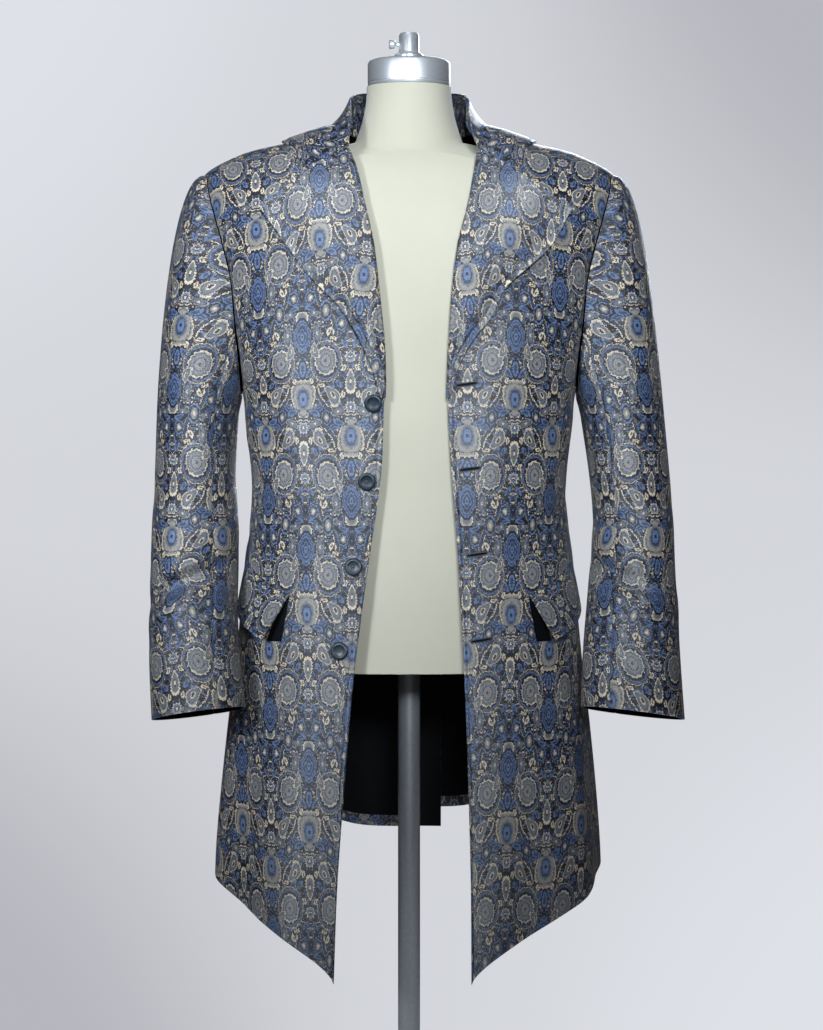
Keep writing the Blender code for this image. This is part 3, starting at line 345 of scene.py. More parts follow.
LEFT, RIGHT = 1, -1
BOTH_SIDES = ((RIGHT, "right"), (LEFT, "left"))
CLOTH = 0.0020
SEAM_GAP = 0.0003
HALF_SEAM = SEAM_GAP / 2
LAYER_GAP = 0.0007
ARMPIT_Z = 1.190
SHOULDER_Z = 1.435
BEND = 2.6              # how squarely the cloth turns over the shoulder
ARMHOLE_DEPTH = 0.062
ARMHOLE_FULLNESS = 1.08
ARMHOLE_TAPER = 0.35
YOKE_HEART_Z = 1.36

TRUNK = table(
    "Section", "z half_width front_depth back_depth fullness",
    (0.545, 0.2200, 0.158, 0.160, 2.10), (0.665, 0.2180, 0.154, 0.156, 2.10),
    (0.733, 0.2136, 0.149, 0.151, 2.10), (0.823, 0.2045, 0.142, 0.145, 2.10),
    (0.900, 0.1950, 0.133, 0.137, 2.12), (1.004, 0.1853, 0.124, 0.124, 2.15),
    (1.083, 0.1772, 0.117, 0.108, 2.20), (1.162, 0.1845, 0.122, 0.111, 2.28),
    (1.190, 0.1870, 0.124, 0.114, 2.30), (1.260, 0.2065, 0.129, 0.121, 2.30),
    (1.310, 0.2150, 0.130, 0.123, 2.30), (1.341, 0.2230, 0.129, 0.122, 2.30),
    (1.382, 0.2325, 0.127, 0.120, 2.30), (1.413, 0.2365, 0.125, 0.118, 2.30),
    (1.435, 0.2340, 0.124, 0.117, 2.30),
)
SHOULDER_LINE = table(
    "ShoulderStep", "x z",
    (0.000, 1.497), (0.040, 1.493), (0.080, 1.484), (0.140, 1.472), (0.180, 1.463), (0.205, 1.453),
    (0.222, 1.444), (0.234, 1.435), (0.250, 1.420),
)
FRONT_EDGE = table(
    "EdgeStep", "z right left",
    (0.552, 0.0820, 0.0680), (0.643, 0.0788, 0.0675), (0.697, 0.0756, 0.0665),
    (0.795, 0.0680, 0.0637), (0.881, 0.0605, 0.0605), (0.957, 0.0508, 0.0565),
    (1.021, 0.0420, 0.0530), (1.102, 0.0305, 0.0464), (1.173, 0.0275, 0.0425),
    (1.205, 0.0265, 0.0425), (1.248, 0.0280, 0.0445), (1.302, 0.0335, 0.0480),
    (1.356, 0.0400, 0.0550), (1.399, 0.0497, 0.0660), (1.442, 0.0600, 0.0740),
    (1.485, 0.0780, 0.0800),
)
FRONT_TIP_Z = 0.552
SIDE_HEM_Z = 0.665
FRONT_HEM_CURVE = 0.64
NECK_X = 0.079

# Soft folds of the skirt, deepest at the hem

SKIRT_FOLDS = table(
    "SkirtFold", "side turn width top_z depth",
    (RIGHT, 34, 8, 0.93, 0.0030), (RIGHT, 58, 9, 0.98, -0.0050), (RIGHT, 76, 7, 0.90, 0.0040),
    (RIGHT, 112, 10, 0.98, -0.0070), (RIGHT, 134, 9, 1.00, 0.0060), (RIGHT, 156, 9, 0.98, -0.0080),
    (LEFT, 36, 9, 0.90, -0.0030), (LEFT, 60, 8, 0.96, 0.0040), (LEFT, 78, 7, 0.92, -0.0040),
    (LEFT, 110, 10, 1.00, -0.0060), (LEFT, 131, 9, 0.97, 0.0070), (LEFT, 154, 9, 0.99, -0.0070),
    degrees=["turn", "width"],
)

# Shallow creases of the worn body, each along a line through its middle

BODY_CREASES = table(
    "Crease", "side turn level lean reach width depth",
    (RIGHT, 58, -0.040, 0.9, 0.075, 0.010, -0.0022), (RIGHT, 66, -0.085, 0.6, 0.060, 0.009, 0.0016),
    (RIGHT, 46, -0.135, 0.5, 0.070, 0.012, -0.0018), (RIGHT, 30, -0.210, 0.3, 0.080, 0.014, 0.0014),
    (RIGHT, 70, -0.170, 0.2, 0.060, 0.008, -0.0020), (LEFT, 60, -0.030, 0.8, 0.070, 0.010, -0.0020),
    (LEFT, 52, -0.100, 0.7, 0.065, 0.011, 0.0016), (LEFT, 68, -0.130, 0.3, 0.060, 0.009, -0.0022),
    (LEFT, 34, -0.190, 0.4, 0.080, 0.013, -0.0014),
    (RIGHT, 118, -0.090, 0.7, 0.080, 0.012, -0.0028),
    (RIGHT, 138, -0.140, 0.4, 0.070, 0.011, 0.0022),
    (LEFT, 122, -0.070, 0.8, 0.080, 0.012, -0.0026), (LEFT, 142, -0.150, 0.4, 0.070, 0.012, 0.0022),
    degrees=["turn"],
)
CREASE_GIRTH = 0.17     # metres of cloth to a radian of turn


def between(rows, key):
    """Row of a table at a key between its own, along smooth curves."""
    last = len(rows) - 2
    place = 0
    while place < last and key > rows[place + 1][0]:
        place += 1
    low, high = rows[place], rows[place + 1]
    span = high[0] - low[0]
    share = min(max((key - low[0]) / span, 0.0), 1.0)
    before = rows[max(place - 1, 0)]
    after = rows[min(place + 2, last + 1)]
    values = []
    for column in range(len(low)):
        rise = high[column] - low[column]
        slope_low = (high[column] - before[column]) / (high[0] - before[0]) * span
        slope_high = (after[column] - low[column]) / (after[0] - low[0]) * span
        values.append(
            low[column] + share * slope_low
            + share ** 2 * (3 * rise - 2 * slope_low - slope_high)
            + share ** 3 * (slope_low + slope_high - 2 * rise))
    values[0] = min(max(key, low[0]), high[0])
    return type(low)(*values)


def blend(low, high, share):
    return low + (high - low) * share


def ease(share):
    """Rise from 0 to 1 with level ends."""
    share = min(max(share, 0.0), 1.0)
    return share * share * (3 - 2 * share)


def power(value, exponent):
    """Power that keeps the sign of its base."""
    size = abs(value) ** exponent
    return size if value >= 0 else -size


def body_fold(side, turn, level, z):
    """How far folds and creases move the cloth out at a point."""
    move = 0.0
    for fold in SKIRT_FOLDS:
        if fold.side == side:
            growth = ease((fold.top_z - z) / (fold.top_z - SIDE_HEM_Z))
            move += fold.depth * growth * exp(-((turn - fold.turn) / fold.width) ** 2)
    for crease in BODY_CREASES:
        if crease.side == side:
            along = (turn - crease.turn) * CREASE_GIRTH
            up = level - crease.level - crease.lean * along
            move += crease.depth * exp(-(up / crease.width) ** 2 - (along / crease.reach) ** 2)
    return move


def over_shoulder(level):
    """Shares of the shoulder's rise that is climbed and of its depth that is left."""
    climb = max(level, 0.0) * pi / 2
    return power(sin(climb), 2 / BEND), power(max(cos(climb), 0.0), 2 / BEND)


def trunk_point(side, turn, level):
    """Point of the coat's outer face.

    Turn runs from 0 at the centre front to pi at the centre back. Level is in metres from the
    armpit down, as a negative number, and climbs from 0 at the armpit to 1 on the shoulder seam.
    """
    rise, draw_in = over_shoulder(level)
    base_z = ARMPIT_Z + min(level, 0.0)
    row = between(TRUNK, base_z + rise * (SHOULDER_Z - ARMPIT_Z))
    depth = row.front_depth if turn < pi / 2 else row.back_depth
    x = row.half_width * power(sin(turn), 2 / row.fullness)
    y = -depth * draw_in * power(cos(turn), 2 / row.fullness)
    z = base_z + rise * (between(SHOULDER_LINE, x).z - base_z)
    if level < 0:
        move = body_fold(side, turn, level, z)
        x += move * sin(turn)
        y -= move * cos(turn)
    return Vector((side * x, y, z))


def turn_of(x, level, back):
    """Turn at which the trunk reaches a side distance x."""
    rise, _ = over_shoulder(level)
    row = between(TRUNK, ARMPIT_Z + min(level, 0.0) + rise * (SHOULDER_Z - ARMPIT_Z))
    turn = asin(min(x / row.half_width, 1.0) ** (row.fullness / 2))
    return pi - turn if back else turn


def armhole_reach(rise):
    """Half width of the armhole, front to back, at a share of its height."""
    egg = ARMHOLE_FULLNESS - ARMHOLE_TAPER * rise
    return ARMHOLE_DEPTH * 2 * sqrt(max(rise * (1 - rise), 0.0)) * egg


def armhole_turn(level, back):
    """Turn at which a panel stops at the armhole, or at the side seam below it."""
    if level <= 0:
        return pi / 2
    rise, draw_in = over_shoulder(level)
    if draw_in < 1e-4:
        return pi / 2
    row = between(TRUNK, ARMPIT_Z + rise * (SHOULDER_Z - ARMPIT_Z))
    depth = row.back_depth if back else row.front_depth
    turn = acos(min(armhole_reach(rise) / (depth * draw_in), 1.0) ** (row.fullness / 2))
    return pi - turn if back else turn


def trunk_heart(points):
    """The inside of the trunk beside each point."""
    hearts = np.zeros_like(points)
    hearts[..., 2] = np.minimum(points[..., 2], YOKE_HEART_Z)
    return hearts


PANEL_LOWER = 0.60      # share of a panel's rows below the armpit


def front_edge_x(side, z):
    row = between(FRONT_EDGE, z)
    return row.left if side == LEFT else row.right


def front_surface(side, u, v):
    if v <= PANEL_LOWER:
        drop = 1 - v / PANEL_LOWER
        edge_z = blend(ARMPIT_Z, FRONT_TIP_Z, drop)
        hem = blend(FRONT_TIP_Z, SIDE_HEM_Z, power(u, FRONT_HEM_CURVE))
        level = blend(ARMPIT_Z, hem, drop) - ARMPIT_Z
        edge = turn_of(front_edge_x(side, edge_z), edge_z - ARMPIT_Z, False)
    else:
        level = (v - PANEL_LOWER) / (1 - PANEL_LOWER)
        x = NECK_X
        for _ in range(4):
            z = trunk_point(side, turn_of(x, level, False), level).z
            x = front_edge_x(side, z)
        edge = turn_of(x, level, False)
    return trunk_point(side, blend(edge, armhole_turn(level, False), u), level)


def spread(count, near=0.0, far=0.0):
    """Even shares from 0 to 1 with a few more close to either end for a turned edge."""
    steps = {round(number / count, 5) for number in range(count + 1)}
    for share in (0.10, 0.28, 0.50, 0.72, 1.0):
        if near:
            steps.add(round(share * near, 5))
        if far:
            steps.add(round(1 - share * far, 5))
    return sorted(steps)


def grid_normals(points, hearts):
    """Unit normals of a grid of points, pointing away from its inside."""
    along, across = np.gradient(points, axis=(0, 1))
    normals = np.cross(across, along)
    normals /= np.maximum(np.linalg.norm(normals, axis=2, keepdims=True), 1e-12)
    if ((points - hearts) * normals).sum() < 0:
        normals = -normals
    return normals


def path_lengths(points, axis):
    """Length of cloth from a grid's first row or column to each point."""
    steps = np.linalg.norm(np.diff(points, axis=axis), axis=2)
    lengths = np.cumsum(steps, axis=axis)
    start = [slice(None), slice(None)]
    start[axis] = slice(0, 1)
    zeros = np.zeros_like(points[..., 0][tuple(start)])
    return np.concatenate((zeros, lengths), axis=axis)


def turned_edge(distance, depth=0.0011, reach=0.0035):
    """How far a seamed edge sinks, by its distance from the seam."""
    return -depth * np.exp(-(distance / reach) ** 2)


def groove(distance, depth, reach):
    """How far the line of edge stitching sinks."""
    return -depth * np.exp(-((distance - EDGE_STITCH) / reach) ** 2)


def add_mesh(name, points, faces, materials, sharp=None):
    """Smooth mesh object; edges that turn more than the sharp angle in degrees stay crisp."""
    mesh = bpy.data.meshes.new(name)
    mesh.from_pydata([tuple(point) for point in points], [], faces)
    for material in materials:
        mesh.materials.append(material)
    mesh.shade_smooth()
    if sharp:
        mesh.set_sharp_from_angle(angle=radians(sharp))
    piece = bpy.data.objects.new(name, mesh)
    bpy.context.collection.objects.link(piece)
    return piece


def sew(name, surface, across, along, heart, lay, relief=None, facing=None, thickness=CLOTH):
    """Cloth shell with its outer face on a surface of u and v.

    Lay gives the cloth's own coordinates from path lengths across and along, relief moves the
    outer face along its normal, and facing tells where the inner face is jacquard.
    """
    grid = np.array([[surface(u, v)[:] for u in across] for v in along])
    normals = grid_normals(grid, heart(grid))
    over, up = path_lengths(grid, 1), path_lengths(grid, 0)
    if relief is not None:
        grid = grid + normals * relief(over, up)[..., None]
    inner = grid - normals * thickness
    weave = np.stack(lay(over, up, grid), axis=2)
    rows, columns = grid.shape[:2]
    count = rows * columns
    points = np.concatenate((grid.reshape(-1, 3), inner.reshape(-1, 3)))
    weave = np.concatenate((weave.reshape(-1, 2), weave.reshape(-1, 2)))
    plain = np.ones((rows - 1, columns - 1), int)
    if facing is not None:
        plain[facing(over, up)[:-1, :-1]] = 0
    number = np.arange(count).reshape(rows, columns)
    a, b, c, d = number[:-1, :-1], number[:-1, 1:], number[1:, 1:], number[1:, :-1]
    walls = [(a, b, c, d, count + a, count + d, count + c, count + b)]

    def rim(edge, flip):
        low, high = edge[:-1], edge[1:]
        return ((low, high, count + high, count + low) if flip
                else (low, count + low, count + high, high))

    walls.append((*rim(number[0], False), *rim(number[-1], True)))
    walls.append((*rim(number[:, 0], True), *rim(number[:, -1], False)))
    faces = np.concatenate([np.stack(wall, axis=-1).reshape(-1, 4) for wall in walls])
    slots = np.zeros(len(faces), int)
    slots[1:2 * plain.size:2] = plain.ravel()
    if np.dot(np.cross(grid[1, 1] - grid[1, 0], grid[0, 1] - grid[1, 0]), normals[1, 0]) > 0:
        faces = faces[:, ::-1]
    piece = add_mesh(name, points.tolist(), faces.tolist(), (JACQUARD, LINING), 50)
    mesh = piece.data
    layer = mesh.uv_layers.new(name="cloth")
    corners = np.empty(len(mesh.loops), dtype=np.int32)
    mesh.loops.foreach_get("vertex_index", corners)
    layer.data.foreach_set("uv", weave[corners].astype(np.float32).ravel())
    mesh.polygons.foreach_set("material_index", slots)
    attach(piece, "root")
    return piece


PATTERN_U = 0.118       # cloth from the centre front to the repeat's upright mirror line
PATTERN_V = -0.171      # cloth from the armpit to the heart of the vase
FACING_WIDTH = 0.085
EDGE_STITCH = 0.006     # the edge stitching lies this far in
FRONT_GROOVE = (0.0011, 0.0016)     # depth and reach
FRONT_ROLL = (0.0008, 0.0012)


def front_relief(over, up):
    """A turned and stitched front edge, and sunk side and shoulder seams."""
    to_side = over[:, -1:] - over
    to_top = up[-1:, :] - up
    return (groove(over, *FRONT_GROOVE) + turned_edge(over, *FRONT_ROLL)
            + turned_edge(to_side) + turned_edge(to_top))


def front_lay(over, up, grid):
    start = np.abs(grid[:, :1, 0])
    armpit = np.argmin(np.abs(grid[:, 0, 2] - ARMPIT_Z))
    return over + start - PATTERN_U, up - up[armpit:armpit + 1, :] - PATTERN_V


FRONT_COLUMNS = spread(54, 0.03, 0.02)
FRONT_ROWS = spread(130, 0.008, 0.01)

for side, label in BOTH_SIDES:
    front = sew("coat_front_" + label, partial(front_surface, side), FRONT_COLUMNS, FRONT_ROWS,
                trunk_heart, front_lay, front_relief, lambda over, up: over < FACING_WIDTH)
    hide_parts("front_" + label)

# The backs meet in a centre seam down to a vent below the waist, where the right half runs
# on under the left. They are cut like the fronts and lined in black satin that is felled
# a little above the hem.

BACK_HEM_Z = {RIGHT: 0.679, LEFT: 0.703}
BACK_HEM_RISE = 0.026
BACK_HEM_CREST = 0.62
BACK_HEM_SPREAD = 0.16
NECK_BACK_Y = 0.068
VENT_TOP_Z = 0.985
VENT_RIGHT_X = -0.006
VENT_LEFT_X = 0.038
NEAR_MIDDLE = 0.0005    # the trunk's sides are told apart only this far from the middle
BACK_TURN_UP = 0.008    # the lining is felled this far above the hem
MIDDLE_SEAM = (0.0008, 0.003)


def neck_level(turn):
    """Level of the back's neckline, or 1 where the back ends on the shoulder seam."""
    row = TRUNK[-1]
    x = row.half_width * power(sin(turn), 2 / row.fullness)
    if x >= NECK_X:
        return 1.0
    y = NECK_BACK_Y * sqrt(1 - (x / NECK_X) ** 2)
    draw_in = y / (row.back_depth * power(-cos(turn), 2 / row.fullness))
    return acos(min(draw_in, 1.0) ** (BEND / 2)) * 2 / pi


def back_hem(side, u):
    """Height of the back hem, from the side seam to the middle."""
    lift = BACK_HEM_RISE * exp(-((u - BACK_HEM_CREST) / BACK_HEM_SPREAD) ** 2)
    return blend(SIDE_HEM_Z, BACK_HEM_Z[side], ease(u)) + lift


def back_surface(side, u, v):
    if v <= PANEL_LOWER:
        level = blend(ARMPIT_Z, back_hem(side, u), 1 - v / PANEL_LOWER) - ARMPIT_Z
        seam = pi / 2
    else:
        climb = (v - PANEL_LOWER) / (1 - PANEL_LOWER)
        level = climb * neck_level(blend(pi / 2, pi, u))
        seam = armhole_turn(climb, True)
    middle = turn_of(HALF_SEAM, level, True)
    return trunk_point(side, blend(seam, middle, u), level)


def back_relief(over, up):
    to_middle = over[:, -1:] - over
    to_top = up[-1:, :] - up
    return turned_edge(over) + turned_edge(to_middle, *MIDDLE_SEAM) + turned_edge(to_top)


def back_lay(over, up, grid):
    armpit = np.argmin(np.abs(grid[:, 0, 2] - ARMPIT_Z))
    return over[:, -1:] - over, up - up[armpit:armpit + 1, :] - PATTERN_V


NECK_SHARE = turn_of(NECK_X, 1.0, True) / (pi / 2) - 1 - 1e-6
BACK_COLUMNS = sorted({*spread(54, 0.02, 0.02), NECK_SHARE, NECK_SHARE - 0.004, NECK_SHARE + 0.004})

for side, label in BOTH_SIDES:
    back = sew("coat_back_" + label, partial(back_surface, side), BACK_COLUMNS, FRONT_ROWS,
               trunk_heart, back_lay, back_relief, lambda over, up: up < BACK_TURN_UP)
    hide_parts("back_" + label, "skirt_lining_" + label)


HALVINGS = 20


def level_where(side, x, back, reached):
    """Level between armpit and shoulder seam at which a test first holds, at side distance x."""
    low, high = 0.0, 1.0
    for _ in range(HALVINGS):
        middle = (low + high) / 2
        if reached(trunk_point(side, turn_of(x, middle, back), middle)):
            high = middle
        else:
            low = middle
    return (low + high) / 2


def level_at_height(side, x, z, back=False):
    """Level of the trunk at side distance x and height z."""
    if z <= ARMPIT_Z:
        return z - ARMPIT_Z
    return level_where(side, x, back, lambda point: point.z >= z)


def trunk_normal(side, turn, level):
    step = 0.001
    across = trunk_point(side, turn + step, level) - trunk_point(side, turn - step, level)
    top = min(level + step, 1.0)
    along = trunk_point(side, turn, top) - trunk_point(side, turn, top - 2 * step)
    normal = across.cross(along).normalized()
    point = trunk_point(side, turn, level)
    heart = Vector((0.0, 0.0, min(point.z, YOKE_HEART_Z)))
    return normal if normal.dot(point - heart) > 0 else -normal


def off_trunk(side, turn, level, lift):
    """Point that stands off the trunk's outer face by a lift."""
    return trunk_point(side, turn, level) + trunk_normal(side, turn, level) * lift


def on_trunk(side, x, z, lift, back=False):
    """The same at side distance x and height z."""
    level = level_at_height(side, x, z, back)
    return off_trunk(side, turn_of(x, level, back), level, lift)


def vent_surface(u, v):
    x = blend(VENT_RIGHT_X, VENT_LEFT_X, u)
    z = blend(BACK_HEM_Z[RIGHT] + 0.001, VENT_TOP_Z, v)
    side = LEFT if x > 0 else RIGHT
    point = on_trunk(side, max(abs(x), NEAR_MIDDLE), z, -(CLOTH + LAYER_GAP), True)
    point.x = x
    return point


def plain_lay(over, up, grid):
    return over, up


vent = sew("coat_vent_underlap", vent_surface, spread(8, 0.1, 0.1), spread(30), trunk_heart,
           plain_lay)
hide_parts("vent_underlap")

# Two-piece sleeves are set into the armholes with a little fullness at the head, bend
# slightly forward at the elbow and are lined in black. Their seams run down the front
# and the back of the arm, and the cuffs are plain.

SLEEVE_TOP_Z = 1.165
SLEEVE_COLUMNS = "down out forward half_width half_depth"
SLEEVES = {
    RIGHT: table(
        "SleeveRing", SLEEVE_COLUMNS,
        (0.000, 0.2385, 0.000, 0.0460, 0.067), (0.065, 0.2410, 0.004, 0.0455, 0.063),
        (0.115, 0.2400, 0.016, 0.0485, 0.061), (0.165, 0.2395, 0.036, 0.0490, 0.059),
        (0.215, 0.2390, 0.058, 0.0490, 0.056), (0.265, 0.2365, 0.077, 0.0500, 0.053),
        (0.325, 0.2310, 0.094, 0.0515, 0.050),
    ),
    LEFT: table(
        "SleeveRing", SLEEVE_COLUMNS,
        (0.000, 0.2410, 0.000, 0.0470, 0.067), (0.065, 0.2486, 0.004, 0.0452, 0.063),
        (0.115, 0.2520, 0.014, 0.0452, 0.061), (0.165, 0.2500, 0.032, 0.0475, 0.059),
        (0.215, 0.2480, 0.052, 0.0510, 0.057), (0.265, 0.2460, 0.072, 0.0540, 0.055),
        (0.325, 0.2460, 0.090, 0.0570, 0.053),
    ),
}
CUFF_TILT = 0.007
CUFF_BACK_DROP = 0.008
CUFF_START = 0.55
SLEEVE_HEAD = 0.42
SLEEVE_HEART_X = 0.225
HEAD_LEAVE = 0.36
HEAD_ARRIVE = 1.05
HEAD_OUT, HEAD_DOWN = 0.15, 0.1     # least shares of the cloth's way out and down at the seam
RING_STEP = 0.004
FRONT_SEAM = radians(120.7)
BACK_SEAM = radians(-105.9)
SLEEVE_SEAM, ARMHOLE_SEAM = (0.0009, 0.003), (0.0013, 0.004)

SLEEVE_CREASES = table(
    "SleeveCrease", "side theta down slope reach width depth",
    (RIGHT, 80, 0.180, 0.020, 55, 0.010, -0.0105), (RIGHT, 90, 0.158, 0.012, 50, 0.011, 0.0065),
    (RIGHT, 78, 0.205, 0.018, 45, 0.010, 0.0050), (RIGHT, 110, 0.275, 0.008, 35, 0.009, -0.0030),
    (RIGHT, 95, 0.128, -0.010, 40, 0.009, -0.0030), (RIGHT, 60, 0.060, 0.030, 50, 0.015, -0.0026),
    (RIGHT, 120, 0.095, -0.012, 45, 0.010, -0.0030), (RIGHT, 70, 0.238, 0.010, 45, 0.010, -0.0020),
    (RIGHT, -60, 0.150, -0.020, 50, 0.012, -0.0036), (RIGHT, -80, 0.190, -0.014, 50, 0.012, 0.0026),
    (LEFT, 115, 0.176, 0.014, 45, 0.010, -0.0100), (LEFT, 100, 0.152, 0.014, 50, 0.011, 0.0058),
    (LEFT, 92, 0.201, 0.012, 50, 0.010, 0.0048), (LEFT, 100, 0.262, 0.006, 40, 0.009, -0.0030),
    (LEFT, 70, 0.070, 0.026, 50, 0.014, -0.0026), (LEFT, 125, 0.108, -0.010, 45, 0.010, -0.0028),
    (LEFT, 80, 0.232, 0.010, 45, 0.010, -0.0020), (LEFT, -70, 0.155, -0.018, 50, 0.012, -0.0036),
    (LEFT, -50, 0.195, -0.012, 50, 0.012, 0.0026),
    degrees=["theta", "reach"],
)


def armhole_point(side, theta):
    """Point of the armhole; theta is 0 at the shoulder, a quarter turn in front, half below."""
    rise = min(max((1 + cos(theta)) / 2, 0.0), 1.0)
    level = asin(rise ** (BEND / 2)) * 2 / pi
    return trunk_point(side, armhole_turn(level, sin(theta) < 0), level)


def sleeve_section(side, theta, down):
    """Point of a level ring of the sleeve below its head."""
    row = between(SLEEVES[side], down)
    length = SLEEVES[side][-1].down
    settle = ease((down / length - CUFF_START) / (1 - CUFF_START))
    dip = (CUFF_TILT * cos(theta) - CUFF_BACK_DROP * sin(theta)) * settle
    out = row.out + row.half_width * cos(theta)
    forward = row.forward + row.half_depth * sin(theta)
    for crease in SLEEVE_CREASES:
        if crease.side != side:
            continue
        swing = (theta - crease.theta + pi) % (2 * pi) - pi
        height = down - crease.down + crease.slope * swing
        push = crease.depth * exp(-(height / crease.width) ** 2 - (swing / crease.reach) ** 2)
        out += push * cos(theta)
        forward += push * sin(theta)
    return Vector((side * out, -forward, SLEEVE_TOP_Z - down - dip))


def sleeve_point(side, theta, v):
    """Point of the sleeve's outer face, from the armhole at v = 0 to the cuff at v = 1."""
    if v >= SLEEVE_HEAD:
        share = (v - SLEEVE_HEAD) / (1 - SLEEVE_HEAD)
        return sleeve_section(side, theta, share * SLEEVES[side][-1].down)
    share = v / SLEEVE_HEAD
    start = armhole_point(side, theta)
    start.x += side * 2 * SEAM_GAP
    end = sleeve_section(side, theta, 0.0)
    span = (end - start).length
    over = (1 + cos(theta)) / 2
    leave = Vector((side * blend(HEAD_OUT, 1.0, over), 0.0, -blend(1.0, HEAD_DOWN, over)))
    leave.normalize()
    arrive = (sleeve_section(side, theta, RING_STEP) - end).normalized()
    cube, square = share ** 3, share ** 2
    leave *= HEAD_LEAVE * span * (cube - 2 * square + share)
    arrive *= HEAD_ARRIVE * span * (cube - square)
    return start * (2 * cube - 3 * square + 1) + leave + end * (3 * square - 2 * cube) + arrive


def sleeve_surface(side, start, end, u, v):
    return sleeve_point(side, blend(start, end, u), v)


def sleeve_heart(side):
    """The inside of a sleeve beside each point."""
    rows = SLEEVES[side]

    def hearts(points):
        down = np.clip(SLEEVE_TOP_Z - points[..., 2], 0.0, rows[-1].down)
        out = np.interp(down, [row.down for row in rows], [row.out for row in rows])
        forward = np.interp(down, [row.down for row in rows], [row.forward for row in rows])
        high = points[..., 2] > SLEEVE_TOP_Z
        out = np.where(high, SLEEVE_HEART_X, out)
        forward = np.where(high, 0.0, forward)
        return np.stack((side * out, -forward, np.minimum(points[..., 2], YOKE_HEART_Z)), axis=2)
    return hearts


def sleeve_relief(over, up):
    return (turned_edge(over, *SLEEVE_SEAM) + turned_edge(over[:, -1:] - over, *SLEEVE_SEAM)
            + turned_edge(up, *ARMHOLE_SEAM))


def sleeve_lay(over, up, grid):
    """Cloth measured from the sleeve's middle and from the line below its head."""
    head = np.searchsorted(SLEEVE_ROWS, SLEEVE_HEAD)
    middle = over.shape[1] // 2
    across = over - over[:, middle:middle + 1]
    across[:head] = across[head]
    return across, up[head] - up + SLEEVE_PATTERN_V


SLEEVE_PARTS = [("upper", BACK_SEAM, FRONT_SEAM, (0.25, 0.60, 0.125)),
                ("under", FRONT_SEAM, BACK_SEAM + 2 * pi, (0.16, 0.47, 0.055))]
SEAM_TURN = 0.003
SLEEVE_PATTERN_V = 0.02
SLEEVE_ROWS = spread(120, 0.03, 0.01)

for side, label in BOTH_SIDES:
    for part, start, end, size in SLEEVE_PARTS:
        columns = spread(44 if part == "upper" else 26, 0.06, 0.06)
        sleeve = sew("sleeve_%s_%s_cloth" % (part, label),
                     partial(sleeve_surface, side, start + SEAM_TURN, end - SEAM_TURN),
                     columns, SLEEVE_ROWS, sleeve_heart(side), sleeve_lay, sleeve_relief)
        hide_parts("sleeve_%s_%s" % (part, label))

# The collar is a stand up the neck and a fall that turns over it and spreads on the
# shoulders. Both are jacquard over canvas; the fall ends at the gorge and leaves an
# open notch above each lapel.

COLLAR = table(
    "CollarRow", "share seam_x seam_y fold_x fold_y fold_z bend_x bend_y bend_z edge_x edge_y",
    (0.00, 0.000, 0.067, 0.000, 0.058, 1.536, 0.000, 0.073, 1.500, 0.000, 0.080),
    (0.28, 0.046, 0.055, 0.041, 0.047, 1.534, 0.052, 0.065, 1.496, 0.070, 0.067),
    (0.55, 0.078, 0.008, 0.066, 0.004, 1.525, 0.080, 0.010, 1.487, 0.126, 0.030),
    (0.78, 0.078, -0.036, 0.067, -0.042, 1.500, 0.084, -0.036, 1.478, 0.137, 0.000),
    (1.00, 0.074, -0.072, 0.066, -0.076, 1.466, 0.092, -0.072, 1.452, 0.142, -0.026),
)
GORGE_Z = 1.458
NOTCH_X, NOTCH_Z = 0.117, 1.430
NOTCH_SHARE = 0.52
GORGE_INSET = 0.001
COLLAR_LIFT = CLOTH + 0.0025
COLLAR_ROLL = 0.0065
COLLAR_FRONT = 0.74
STAND_END = 0.07
STAND_INSET = 0.003
STAND_LIFT = 0.0012
STAND_DROP = 0.0012
FOLD_RADIUS = 0.0016    # the fall rolls over the stand in a small round
FOLD_SHARE = 0.08
FOLD_ANGLE = radians(150)
COLLAR_GROOVE = (0.0010, 0.0018)


def top_of_shoulder(side, x, y, lift):
    """Point above the shoulder at a plan position, lifted along the cloth's normal."""
    x, back = max(abs(x), NEAR_MIDDLE), y > 0
    level = level_where(side, x, back, lambda point: abs(point.y) <= abs(y))
    return off_trunk(side, turn_of(x, level, back), level, lift)


def collar_row(u):
    """Collar row and side for a share from the right end to the left end."""
    side = LEFT if u >= 0.5 else RIGHT
    return side, between(COLLAR, min(abs(2 * u - 1), 1.0))


def gorge_x(side):
    return front_edge_x(side, GORGE_Z) + GORGE_INSET


def above_shoulder(side, point, v):
    """Lift a point of the collar clear of the shoulder, outside the neckline."""
    if (point.x / NECK_X) ** 2 + (point.y / NECK_BACK_Y) ** 2 > 1.0:
        lift = COLLAR_LIFT + COLLAR_ROLL * sin(pi * v)
        point.z = max(point.z, top_of_shoulder(side, point.x, point.y, lift).z)
    return point


def fall_point(u, v):
    side, row = collar_row(u)
    fold = Vector((side * row.fold_x, row.fold_y, row.fold_z))
    turn_down = Vector((side * row.bend_x, row.bend_y, row.bend_z))
    edge = top_of_shoulder(side, row.edge_x, row.edge_y, COLLAR_LIFT)
    edge.x = side * row.edge_x
    soft = fold * (1 - v) ** 2 + turn_down * 2 * v * (1 - v) + edge * v ** 2
    gorge = on_trunk(side, gorge_x(side), GORGE_Z, COLLAR_LIFT + 0.001)
    notch = on_trunk(side, NOTCH_X, NOTCH_Z, COLLAR_LIFT)
    if v < NOTCH_SHARE:
        sharp = blend(gorge, notch, v / NOTCH_SHARE)
    else:
        sharp = blend(notch, edge, (v - NOTCH_SHARE) / (1 - NOTCH_SHARE))
    front = ease((row.share - COLLAR_FRONT) / (1 - COLLAR_FRONT))
    return above_shoulder(side, blend(soft, sharp, front), v)


